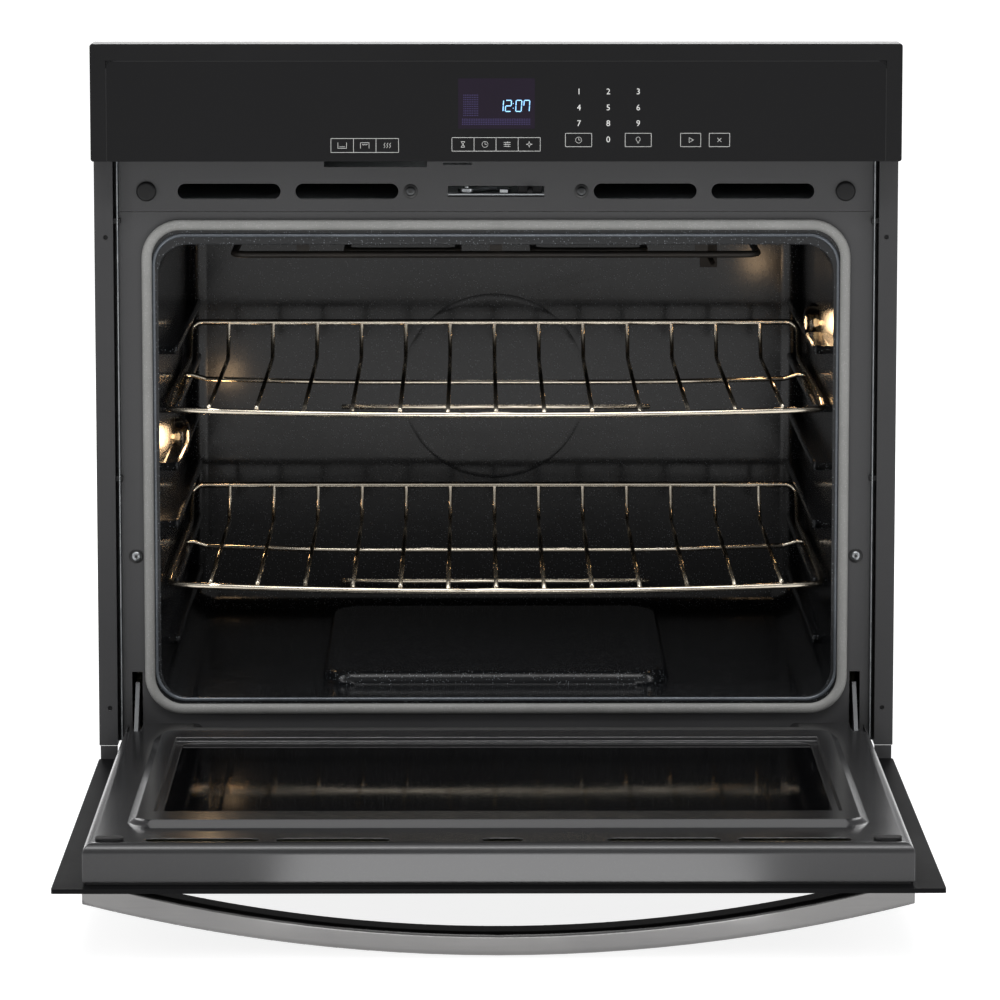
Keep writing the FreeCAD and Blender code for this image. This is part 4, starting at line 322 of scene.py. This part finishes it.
newMaterial("gasketBraid", "#777775", "#858583", (0.5, 0.62), 14.0, (800, (1, 1, 1), 0.35, 0.0005),
            flecks=("#9c9c9a", 620, 0.35, 0.5))
newMaterial("ceramic", "#d9d4c8", "#e6e2d8", (0.4, 0.55), 30.0, (500, (1, 1, 1), 0.2, 0.0004))
newMaterial("elementSheath", "#1f1d1b", "#2a2622", (0.38, 0.55), 18.0, (900, (1, 1, 1), 0.3, 0.0003),
            Metallic=0.6)
newMaterial("zincHardware", "#8b8e90", "#a3a6a8", (0.26, 0.38), 40.0, (700, (1, 1, 1), 0.15, 0.0002),
            edge=("#d6d8da", 0.7, 0.0005), Metallic=1.0)
newMaterial("insulation", "#c9c1a4", "#dcd6c0", (0.85, 0.95), 25.0, (260, (1, 1, 6), 0.9, 0.003))
newMaterial("rackWire", "#cfc4b2", "#e2d9c9", (0.14, 0.24), 30.0, (900, (1, 1, 1), 0.08, 0.0002),
            Metallic=1.0)
newMaterial("motorMetal", "#6f7274", "#83868a", (0.35, 0.5), 12.0, (900, (1, 1, 1), 0.2, 0.0002),
            edge=("#b0b3b6", 0.6, 0.0008), Metallic=0.9)
newMaterial("handleSteel", "#7f7e7e", "#8c8b8a", (0.15, 0.21), 6.0, (900, (0.02, 1, 1), 0.08, 0.00004),
            Metallic=1.0)
newMaterial("rubber", "#0e0e0f", "#131314", (0.5, 0.62), 20.0, (1100, (1, 1, 1), 0.3, 0.0003),
            Specular_IOR_Level=0.3)
newMaterial("hingeSteel", "#3a3b3c", "#4c4d4e", (0.3, 0.42), 30.0, (700, (1, 1, 1), 0.2, 0.0002),
            edge=("#8e9092", 0.8, 0.0006), Metallic=0.9)
# a lighter copy of the cavity enamel for the rolled rim: painted highlight along the mouth of the cavity
newMaterial("rimEnamelPaintedShine", "#43474c", "#565b61", (0.12, 0.2), 20.0, (260, (1, 1, 1), 0.1, 0.0003),
            flecks=("#8d939a", 900, 0.3, 0.5), Specular_IOR_Level=0.6, Metallic=0.3)
newMaterial("blackWasher", "#0c0c0d", "#121213", (0.3, 0.42), 30.0, (900, (1, 1, 1), 0.15, 0.0002),
            edge=("#3a3a3b", 0.5, 0.0004))
newMaterial("backPaint", "#0d0d0e", "#111112", (0.5, 0.6), 5.0, (1200, (1, 1, 1), 0.15, 0.0002),
            edge=("#1f1f20", 0.4, 0.0006), Specular_IOR_Level=0.05)
newMaterial("whiteInk", "#c9c9c7", "#d6d6d4", (0.5, 0.6), 40.0, (900, (1, 1, 1), 0.1, 0.0001))
newMaterial("displayTint", "#120c16", "#160f1b", (0.15, 0.2), 20.0, (300, (1, 1, 1), 0.03, 0.0001),
            Specular_IOR_Level=0.15, Emission_Color=(0.03, 0.015, 0.05, 1.0), Emission_Strength=0.1)
newMaterial("displayDim", "#1b1236", "#1f143e", (0.3, 0.4), 40.0, (300, (1, 1, 1), 0.03, 0.0001),
            Emission_Color=(0.06, 0.03, 0.25, 1.0), Emission_Strength=0.12)
newMaterial("displayLit", "#8dc4f4", "#a4d2fb", (0.3, 0.4), 40.0, (300, (1, 1, 1), 0.03, 0.0001),
            Emission_Color=(0.2, 0.52, 0.95, 1.0), Emission_Strength=0.75)
print("materials ready:", len(materials))

slotFinish = {
    "galvanised_sheet": "galvanisedSheet", "black_paint": "blackPaint", "frame_enamel": "frameEnamel",
    "bezel_plastic": "bezelPlastic", "black_glass": "blackGlass", "pane_glass": "paneGlass",
    "lamp_glass": "lampGlass", "circuit_board": "circuitBoard", "cavity_enamel": "cavityEnamel",
    "liner_enamel": "linerEnamel", "gasket_braid": "gasketBraid", "ceramic": "ceramic",
    "element_sheath": "elementSheath", "zinc_hardware": "zincHardware", "insulation": "insulation",
    "rack_wire": "rackWire", "motor_metal": "motorMetal", "handle_steel": "handleSteel", "rubber": "rubber",
}
slotOf = {part["node"]: part["material_slot"] for part in frame["record"]["subparts"]}
ownFinish = {  # nodes that don't look like the rest of their slot
    "hinge_arm_left": "hingeSteel", "hinge_arm_right": "hingeSteel", "hinge_receiver_left": "hingeSteel",
    # the element hangers take the dark sheath finish as painted shade for the dark top of the cavity
    "hinge_receiver_right": "hingeSteel", "element_hangers": "elementSheath",
    "temperature_sensor": "elementSheath", "lamp_bulbs": "lampBulb", "door_outer_glass": "backPaint",
}
finishOf = {label: ownFinish.get(label, slotFinish[slot]) for label, slot in slotOf.items()}
for label, thing in nodes.items():
    thing.data.materials.clear()
    thing.data.materials.append(materials[finishOf[label]])


# shape tools

def finishPiece(label, bm, finish, body, replaced=(), smooth=35):
    mesh = bpy.data.meshes.new(label)
    bm.to_mesh(mesh)
    bm.free()
    mesh.materials.append(materials[finish])
    mesh.shade_smooth()
    mesh.set_sharp_from_angle(angle=math.radians(smooth))
    piece = bpy.data.objects.new(label, mesh)
    scene.collection.objects.link(piece)
    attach(piece, body)
    if replaced:
        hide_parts(*replaced)
    return piece


shadingRule = {"coplanar": 0.99999, "broad": 0.0002, "calmShare": 0.86}  # cosine, square metres, share


def evenShading(mesh, bend=0.82, calm=None):  # broad flat faces stay flat, and bends run into them
    parent = list(range(len(mesh.polygons)))

    def root(index):
        while parent[index] != index:
            parent[index] = parent[parent[index]]
            index = parent[index]
        return index

    sides = {}
    for face in mesh.polygons:
        for key in face.edge_keys:
            sides.setdefault(key, []).append(face.index)
    for pair in sides.values():
        if len(pair) == 2:
            first, second = (mesh.polygons[index] for index in pair)
            if first.normal.dot(second.normal) > shadingRule["coplanar"]:
                parent[root(first.index)] = root(second.index)
    area = {}
    for face in mesh.polygons:
        area[root(face.index)] = area.get(root(face.index), 0) + face.area
    touching = {}
    for face in mesh.polygons:
        if area[root(face.index)] > shadingRule["broad"]:
            for vert in face.vertices:
                touching.setdefault(vert, []).append(face.normal.copy())
    normals = [corner.vector.copy() for corner in mesh.corner_normals]
    for face in mesh.polygons:
        flat = area[root(face.index)] > shadingRule["broad"]
        for loop, vert in zip(face.loop_indices, face.vertices):
            if flat:
                normals[loop] = face.normal.copy()
                continue
            close = [normal for normal in touching.get(vert, ()) if normal.dot(face.normal) > bend]
            if close:
                normals[loop] = max(close, key=face.normal.dot)
    for face in mesh.polygons if calm else ():
        if calm(face.center):
            for loop in face.loop_indices:
                normals[loop] = normals[loop].lerp(Vector((0, -1, 0)), shadingRule["calmShare"]).normalized()
    mesh.normals_split_custom_set(normals)


def smoothPart(label):  # a merged copy that shades round
    bm = bmesh.new()
    bm.from_mesh(nodes[label].data)
    bmesh.ops.remove_doubles(bm, verts=bm.verts, dist=0.000002)
    piece = finishPiece(label + "_finished", bm, finishOf[label], bodyOf[label], (label,))
    evenShading(piece.data, **softBends.get(label, {}))


stampedRound = {"back": 0.522, "height": 0.323, "radius": 0.099, "depth": 0.0092, "margin": 0.00002}


def onRound(spot):  # edge of the stamped round in the back wall
    behind = stampedRound["back"] - spot.y
    away = math.hypot(spot.x, spot.z - stampedRound["height"])
    return stampedRound["margin"] < behind < stampedRound["depth"] and away < stampedRound["radius"]


softBends = {"cavity_liner": {"bend": -0.1, "calm": onRound}, "door_liner": {"bend": 0.6}}
roundShapes = (
    "rack_lower", "rack_upper", "broil_element", "bake_element", "handle_bar", "handle_screws", "band_buffers",
    "rear_screws", "temperature_sensor", "lamp_lens_left", "lamp_lens_right", "door_buffers", "conduit_box",
    "blower_wheel", "blower_motor", "blower_housing", "hinge_springs", "cavity_liner", "door_liner",
    "hinge_arm_left", "hinge_arm_right", "front_frame", "latch_hook", "lamp_bulbs", "control_bezel",
)
for label in roundShapes:
    smoothPart(label)
print("metalwork finished")


# control panel

panelLook = {"face": -0.03802, "proud": 0.00012, "line": 0.00035, "digitHeight": 0.0056, "fontScale": 1.4}


def stroke(bm, points, width, y, depth, closed=False):  # flat bars joined end to end, in x and z
    ends = list(points) + ([points[0]] if closed else [])
    for (x1, z1), (x2, z2) in zip(ends, ends[1:]):
        run = Vector((x2 - x1, 0, z2 - z1))
        turn = Matrix.Rotation(-math.atan2(run.z, run.x), 4, "Y")
        size = Matrix.Diagonal((run.length + width, depth, width, 1))
        place = Matrix.Translation(((x1 + x2) / 2, y, (z1 + z2) / 2))
        bmesh.ops.create_cube(bm, size=1, matrix=place @ turn @ size)


def lettering(bm, text, height, x, z, y, depth):  # a numeral as raised print
    curve = bpy.data.curves.new("numeral", "FONT")
    curve.body = text
    curve.size = height * panelLook["fontScale"]
    curve.align_x = "CENTER"
    curve.align_y = "CENTER"
    curve.extrude = depth / 2
    curve.resolution_u = 3
    holder = bpy.data.objects.new("numeral", curve)
    scene.collection.objects.link(holder)
    bpy.context.view_layer.update()
    mesh = bpy.data.meshes.new_from_object(holder)
    mesh.transform(Matrix.Translation((x, y, z)) @ Matrix.Rotation(math.pi / 2, 4, "X"))
    bm.from_mesh(mesh)
    bpy.data.objects.remove(holder)
    bpy.data.curves.remove(curve)
    bpy.data.meshes.remove(mesh)


def frameBox(bm, left, right, low, high):
    stroke(bm, [(left, low), (right, low), (right, high), (left, high)], panelLook["line"], inkY, inkDepth, True)


def arcLine(radius, rise, start, step, count):  # points round an icon's arc
    angles = [start + index * step for index in range(count)]
    return [(radius * math.cos(a), rise + radius * math.sin(a)) for a in angles]


inkDepth = panelLook["proud"]
inkY = panelLook["face"] - inkDepth / 2
bm = bmesh.new()
columns, rows = (0.0770, 0.1043, 0.1322), (0.6695, 0.6546, 0.6399, 0.6248)
for index, numeral in enumerate("123456789"):
    lettering(bm, numeral, panelLook["digitHeight"], columns[index % 3], rows[index // 3], inkY, inkDepth)
lettering(bm, "0", panelLook["digitHeight"], columns[1], rows[3], inkY, inkDepth)
keyBoxes = (  # left, right, low, high, dividers
    (-0.0413, 0.0410, 0.6142, 0.6268, (-0.0207, -0.0002, 0.0204)),
    (-0.1540, -0.0910, 0.6130, 0.6260, (-0.1330, -0.1120)),
    (0.0644, 0.0889, 0.6183, 0.6308, ()),
    (0.1201, 0.1444, 0.6183, 0.6308, ()),
    (0.1717, 0.1905, 0.6183, 0.6308, ()),
    (0.1984, 0.2175, 0.6183, 0.6308, ()),
)
for left, right, low, high, dividers in keyBoxes:
    frameBox(bm, left, right, low, high)
    for x in dividers:
        stroke(bm, [(x, low), (x, high)], panelLook["line"], inkY, inkDepth)
icons = {  # strokes in millimetres about each key's middle
    "heatBelow": [[(-4, 2.6), (-4, -2.6), (4, -2.6), (4, 2.6)], [(-2.4, -1.2), (2.4, -1.2)]],
    "heatAbove": [[(-4, -2.6), (-4, 2.6), (4, 2.6), (4, -2.6)],
                  [(-2.4, 1.2), (-1.2, 0.4), (0, 1.2), (1.2, 0.4), (2.4, 1.2)]],
    "heatWaves": [[(x - 0.6, -2.2), (x + 0.5, -0.8), (x - 0.5, 0.8), (x + 0.6, 2.2)] for x in (-2.6, 0, 2.6)],
    "clockHands": [arcLine(2.8, 0, 0, math.pi / 8, 17), [(0, 1.8), (0, 0), (1.4, 0)]],
    "hourGlass": [[(-1.8, 2.6), (1.8, 2.6), (-1.8, -2.6), (1.8, -2.6), (-1.8, 2.6)]],
    "sliders": [[(-3, z), (3, z)] for z in (-1.8, 0, 1.8)] + [
        [(1.4, -2.4), (1.4, -1.2)], [(-1.4, -0.6), (-1.4, 0.6)], [(0.6, 1.2), (0.6, 2.4)]],
    "sparkle": [[(0, 2.8), (0.6, 0.6), (2.8, 0), (0.6, -0.6), (0, -2.8), (-0.6, -0.6), (-2.8, 0), (-0.6, 0.6),
                 (0, 2.8)]],
    "lampIcon": [arcLine(2.0, 0.8, -1.1, 0.535, 11), [(-0.9, -1.8), (0.9, -1.8)], [(-0.6, -2.7), (0.6, -2.7)]],
    "play": [[(-1.4, 2.3), (2.6, 0), (-1.4, -2.3), (-1.4, 2.3)]],
    "stop": [[(-1.7, 1.7), (1.7, -1.7)], [(-1.7, -1.7), (1.7, 1.7)]],
}
iconPlaces = (
    ("heatBelow", -0.1435, 0.6195), ("heatAbove", -0.1225, 0.6195), ("heatWaves", -0.1015, 0.6195),
    ("hourGlass", -0.0310, 0.6205), ("clockHands", -0.0105, 0.6205), ("sliders", 0.0101, 0.6205),
    ("sparkle", 0.0307, 0.6205), ("lampIcon", 0.1322, 0.6245), ("play", 0.1811, 0.6245),
    ("stop", 0.2079, 0.6245), ("clockHands", 0.0767, 0.6245),
)
for label, x, z in iconPlaces:
    for line in icons[label]:
        stroke(bm, [(x + a * mm, z + b * mm) for a, b in line], panelLook["line"], inkY, inkDepth)
finishPiece("panelMarks", bm, "whiteInk", "chassis")

displayLook = {"left": -0.0355, "right": 0.0359, "low": 0.6351, "high": 0.6820, "proud": 0.0001}
clockLook = {"left": 0.0010, "low": 0.6508, "tall": 0.0112, "wide": 0.0052, "bar": 0.0009, "lean": 0.06,
             "space": 0.0022, "break": 0.00075, "colonSize": 0.8}
bm = bmesh.new()
size = Matrix.Diagonal((displayLook["right"] - displayLook["left"], displayLook["proud"],
                        displayLook["high"] - displayLook["low"], 1))
place = Matrix.Translation(((displayLook["left"] + displayLook["right"]) / 2,
                            panelLook["face"] - displayLook["proud"] / 2,
                            (displayLook["low"] + displayLook["high"]) / 2))
bmesh.ops.create_cube(bm, size=1, matrix=place @ size)
finishPiece("displayWindow", bm, "displayTint", "chassis")

segments = {"a": ((0, 2), (1, 2)), "b": ((1, 1), (1, 2)), "c": ((1, 0), (1, 1)), "d": ((0, 0), (1, 0)),
            "e": ((0, 0), (0, 1)), "f": ((0, 1), (0, 2)), "g": ((0, 1), (1, 1))}
lit = {"0": "abcdef", "1": "bc", "2": "abged", "7": "fabc"}
litY = panelLook["face"] - displayLook["proud"] - inkDepth / 2
bm = bmesh.new()
x = clockLook["left"]
for mark in "12:07":
    if mark == ":":
        for share in (0.3, 0.7):
            dot = (x, clockLook["low"] + share * clockLook["tall"])
            stroke(bm, [dot, dot], clockLook["bar"] * clockLook["colonSize"], litY, inkDepth)
        x += clockLook["space"]
        continue
    for name in lit[mark]:
        ends = []
        for across, up in segments[name]:
            rise = clockLook["bar"] / 2 + up / 2 * (clockLook["tall"] - clockLook["bar"])
            ends.append((x + across * clockLook["wide"] + clockLook["lean"] * rise, clockLook["low"] + rise))
        first, second = Vector(ends[0]), Vector(ends[1])
        gap = clockLook["break"] / (second - first).length
        stroke(bm, [first.lerp(second, gap), second.lerp(first, gap)], clockLook["bar"], litY, inkDepth)
    x += clockLook["wide"] + clockLook["space"]
finishPiece("clockDigits", bm, "displayLit", "chassis")

bm = bmesh.new()
dotFields = (  # unlit dots: left, columns, low, rows, row pitch
    (0.0042, 40, 0.6392, 4, 0.0016),
    (0.0054, 9, 0.6475, 10, 0.0021),
)
dotLook = {"pitch": 0.0016, "size": 0.0010}
for left, acrossCount, low, upCount, rowPitch in dotFields:
    for column in range(acrossCount):
        for row in range(upCount):
            dot = (displayLook["left"] + left + dotLook["pitch"] * column, low + rowPitch * row)
            stroke(bm, [dot, dot], dotLook["size"], litY, inkDepth * 0.5)
finishPiece("displayDots", bm, "displayDim", "chassis")

glassLow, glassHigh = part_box("control_glass")
# a thin black line round the control glass: painted shadow of the narrow gap between glass and bezel
gapShadowLine = {"corner": 0.006, "line": 0.0009, "steps": 6}
bm = bmesh.new()
outline = [(glassLow.x, glassLow.z)]
for sign, edge in ((-1, glassLow.x), (1, glassHigh.x)):
    arc = []
    for index in range(gapShadowLine["steps"] + 1):
        angle = index * math.pi / 2 / gapShadowLine["steps"]
        arc.append((edge - sign * gapShadowLine["corner"] * (1 - math.cos(angle)),
                    glassHigh.z - gapShadowLine["corner"] * (1 - math.sin(angle))))
    outline += arc if sign < 0 else arc[::-1]
outline.append((glassHigh.x, glassLow.z))
stroke(bm, outline, gapShadowLine["line"], inkY, inkDepth)
finishPiece("glassSeal", bm, "rubber", "chassis")
print("control panel marked")


# gasket, mouth roll and small fixings

quarterPull, straightPull = 0.5523, 0.3  # Bezier handle of a quarter circle, and its share on the straight side


def loopTube(label, halfX, low, high, y, corner, size, flat=1.0):  # round tube on a rounded rectangle
    curve = bpy.data.curves.new(label, "CURVE")
    curve.dimensions = "3D"
    curve.bevel_depth = size
    curve.bevel_resolution = 6
    curve.resolution_u = 24
    reach = corner * quarterPull
    stops = []
    for sx, sz in ((1, -1), (1, 1), (-1, 1), (-1, -1)):
        x, z = sx * halfX, low if sz < 0 else high
        first = (Vector((x - sx * corner, y, z)), Vector((sx * reach, 0, 0)))
        second = (Vector((x, y, z - sz * corner)), Vector((0, 0, sz * reach)))
        stops += [first, second] if sx * sz < 0 else [second, first]
    spline = curve.splines.new("BEZIER")
    spline.bezier_points.add(len(stops) - 1)
    spline.use_cyclic_u = True
    for index, (point, (at, pull)) in enumerate(zip(spline.bezier_points, stops)):
        point.co = at
        point.handle_left_type = point.handle_right_type = "FREE"
        if index % 2 == 0:
            point.handle_right, point.handle_left = at + pull, at - pull * straightPull
        else:
            point.handle_left, point.handle_right = at + pull, at - pull * straightPull
    holder = bpy.data.objects.new(label, curve)
    scene.collection.objects.link(holder)
    bpy.context.view_layer.update()
    bm = bmesh.new()
    bm.from_mesh(bpy.data.meshes.new_from_object(holder))
    bpy.data.objects.remove(holder)
    bmesh.ops.remove_doubles(bm, verts=bm.verts, dist=0.00001)
    bmesh.ops.scale(bm, vec=(1, flat, 1), space=Matrix.Translation((0, -y, 0)), verts=bm.verts)
    return bm


gasketLow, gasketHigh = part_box("door_gasket")
gasketShape = {"corner": 0.032, "half": 0.0049}
radius = (gasketHigh.y - gasketLow.y) / 2
bm = loopTube("gasketPath", gasketHigh.x - radius, gasketLow.z + radius, gasketHigh.z - radius,
              (gasketLow.y + gasketHigh.y) / 2, gasketShape["corner"], gasketShape["half"],
              radius / gasketShape["half"])
finishPiece("doorGasketBraid", bm, "gasketBraid", "chassis", ("door_gasket",), 60)

rollShape = {"inset": 0.0062, "lift": 0.0085, "drop": 0.0100, "size": 0.0019, "corner": 0.0285, "y": 0.0098}
bm = loopTube("rollPath", gasketHigh.x - radius - rollShape["inset"], gasketLow.z + radius + rollShape["lift"],
              gasketHigh.z - radius - rollShape["drop"], rollShape["y"], rollShape["corner"], rollShape["size"])
finishPiece("mouthRoll", bm, "rimEnamelPaintedShine", "chassis", (), 60)

# black blocks in the gap between side trim and front frame: painted shade standing for the dark notches there
notchShadeShape = {"x": 0.3578, "z": (0.545, 0.300), "wide": 0.0090, "tall": 0.0055, "deep": 0.006, "front": 0.0015,
             "round": 0.0012}
bm = bmesh.new()
for sign in (-1, 1):
    for z in notchShadeShape["z"]:
        place = Matrix.Translation((sign * notchShadeShape["x"], notchShadeShape["front"] + notchShadeShape["deep"] / 2, z))
        size = Matrix.Diagonal((notchShadeShape["wide"], notchShadeShape["deep"], notchShadeShape["tall"], 1))
        bmesh.ops.create_cube(bm, size=1, matrix=place @ size)
bmesh.ops.bevel(bm, geom=bm.edges[:], offset=notchShadeShape["round"], affect="EDGES", segments=3, profile=0.5,
                material=-1)
finishPiece("gapClips", bm, "rubber", "chassis")

# black discs in the side trims' mounting holes: painted shade for the dark holes
holeShadeShape = {"x": 0.3675, "z": (0.080, 0.530), "size": 0.0032, "taper": 0.7, "y": 0.0014, "deep": 0.002}
bm = bmesh.new()
for sign in (-1, 1):
    for z in holeShadeShape["z"]:
        place = Matrix.Translation((sign * holeShadeShape["x"], holeShadeShape["y"], z))
        bmesh.ops.create_cone(bm, cap_ends=True, segments=24, radius1=holeShadeShape["size"],
                              radius2=holeShadeShape["size"] * holeShadeShape["taper"], depth=holeShadeShape["deep"],
                              matrix=place @ Matrix.Rotation(math.pi / 2, 4, "X"))
finishPiece("holePlugs", bm, "rubber", "chassis")


def turned(bm, points, at):  # a shape turned about the y axis through a point
    verts = [bm.verts.new((at[0] + r, at[1] + y, at[2])) for r, y in points]
    edges = [bm.edges.new(pair) for pair in zip(verts, verts[1:])]
    bmesh.ops.spin(bm, geom=verts + edges, cent=at, axis=(0, 1, 0), angle=math.tau, steps=32, use_merge=True)


driveShape = {"size": 0.0019, "y": 0.00284, "waist": 0.72}


def starRecess(bm, at, size):  # six lobed drive hole, drawn as a flat black disc: painted shade in the recess
    made = bmesh.ops.create_circle(bm, cap_ends=True, segments=24, radius=size,
                                   matrix=Matrix.Translation(at) @ Matrix.Rotation(math.pi / 2, 4, "X"))
    waist = (driveShape["waist"], 1, driveShape["waist"])
    for index, vert in enumerate(made["verts"]):
        if index % 4 in (2, 3):
            bmesh.ops.scale(bm, vec=waist, space=Matrix.Translation(-Vector(at)), verts=[vert])


washerSection = ((0.0064, -0.0001), (0.0068, 0.0), (0.0068, -0.0004), (0.0058, -0.0009), (0.0, -0.0009))
headSection = ((0.0046, -0.0006), (0.0046, -0.0013), (0.0042, -0.0020), (0.0033, -0.0025), (0.0020, -0.0028),
               (0.0, -0.0028))


def screwHeads(label, places, node, finish):
    heads, washers, holes = bmesh.new(), bmesh.new(), bmesh.new()
    for x, y, z in places:
        turned(washers, washerSection, (x, y, z))
        turned(heads, headSection, (x, y, z))
        starRecess(holes, (x, y - driveShape["y"], z), driveShape["size"])
    for bm in (heads, washers):
        bmesh.ops.remove_doubles(bm, verts=bm.verts, dist=0.00001)
        bmesh.ops.recalc_face_normals(bm, faces=bm.faces)
    finishPiece(label + "Heads", heads, finish, "chassis", (node,), 40)
    finishPiece(label + "Washers", washers, "blackWasher", "chassis", (), 30)
    finishPiece(label + "Drives", holes, "blackWasher", "chassis", (), 30)


for label, node, finish in (("frameScrew", "frame_screws", "zincHardware"),
                            ("bandScrew", "band_screws", "hingeSteel")):
    low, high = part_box(node)
    middle = (low.z + high.z) / 2
    edge = high.x - (high.z - low.z) / 2
    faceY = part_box("front_frame" if label == "frameScrew" else "vent_band")[0].y
    screwHeads(label, [(-edge, faceY, middle), (edge, faceY, middle)], node, finish)
print("gasket and fixings made")


# floor and air

floorLook = {"reach": 30, "below": 0.002, "grey": 0.4, "glow": 0.86, "rough": 0.9}
low, high = cadBounds
bm = bmesh.new()
bmesh.ops.create_grid(bm, x_segments=2, y_segments=2, size=floorLook["reach"])
bmesh.ops.translate(bm, vec=(0, 0, low.z - floorLook["below"]), verts=bm.verts)
floorMesh = bpy.data.meshes.new("studioFloor")
bm.to_mesh(floorMesh)
bm.free()
floor = bpy.data.objects.new("studioFloor", floorMesh)
scene.collection.objects.link(floor)
floorFinish = bpy.data.materials.new("paleFloor")
floorFinish.use_nodes = True
floorShader = floorFinish.node_tree.nodes["Principled BSDF"]
floorShader.inputs["Base Color"].default_value = (floorLook["grey"], floorLook["grey"], floorLook["grey"], 1)
floorShader.inputs["Emission Color"].default_value = (1, 1, 1, 1)
floorShader.inputs["Emission Strength"].default_value = floorLook["glow"]  # a lit table, so it stays pale
floorShader.inputs["Roughness"].default_value = floorLook["rough"]
floorMesh.materials.append(floorFinish)

airLook = {"colour": (0.97, 0.97, 0.98, 1), "strength": 0.42}
world = bpy.data.worlds.new("studioAir")
world.use_nodes = True
scene.world = world
sky = world.node_tree.nodes["Background"]
sky.inputs["Color"].default_value = airLook["colour"]
sky.inputs["Strength"].default_value = airLook["strength"]
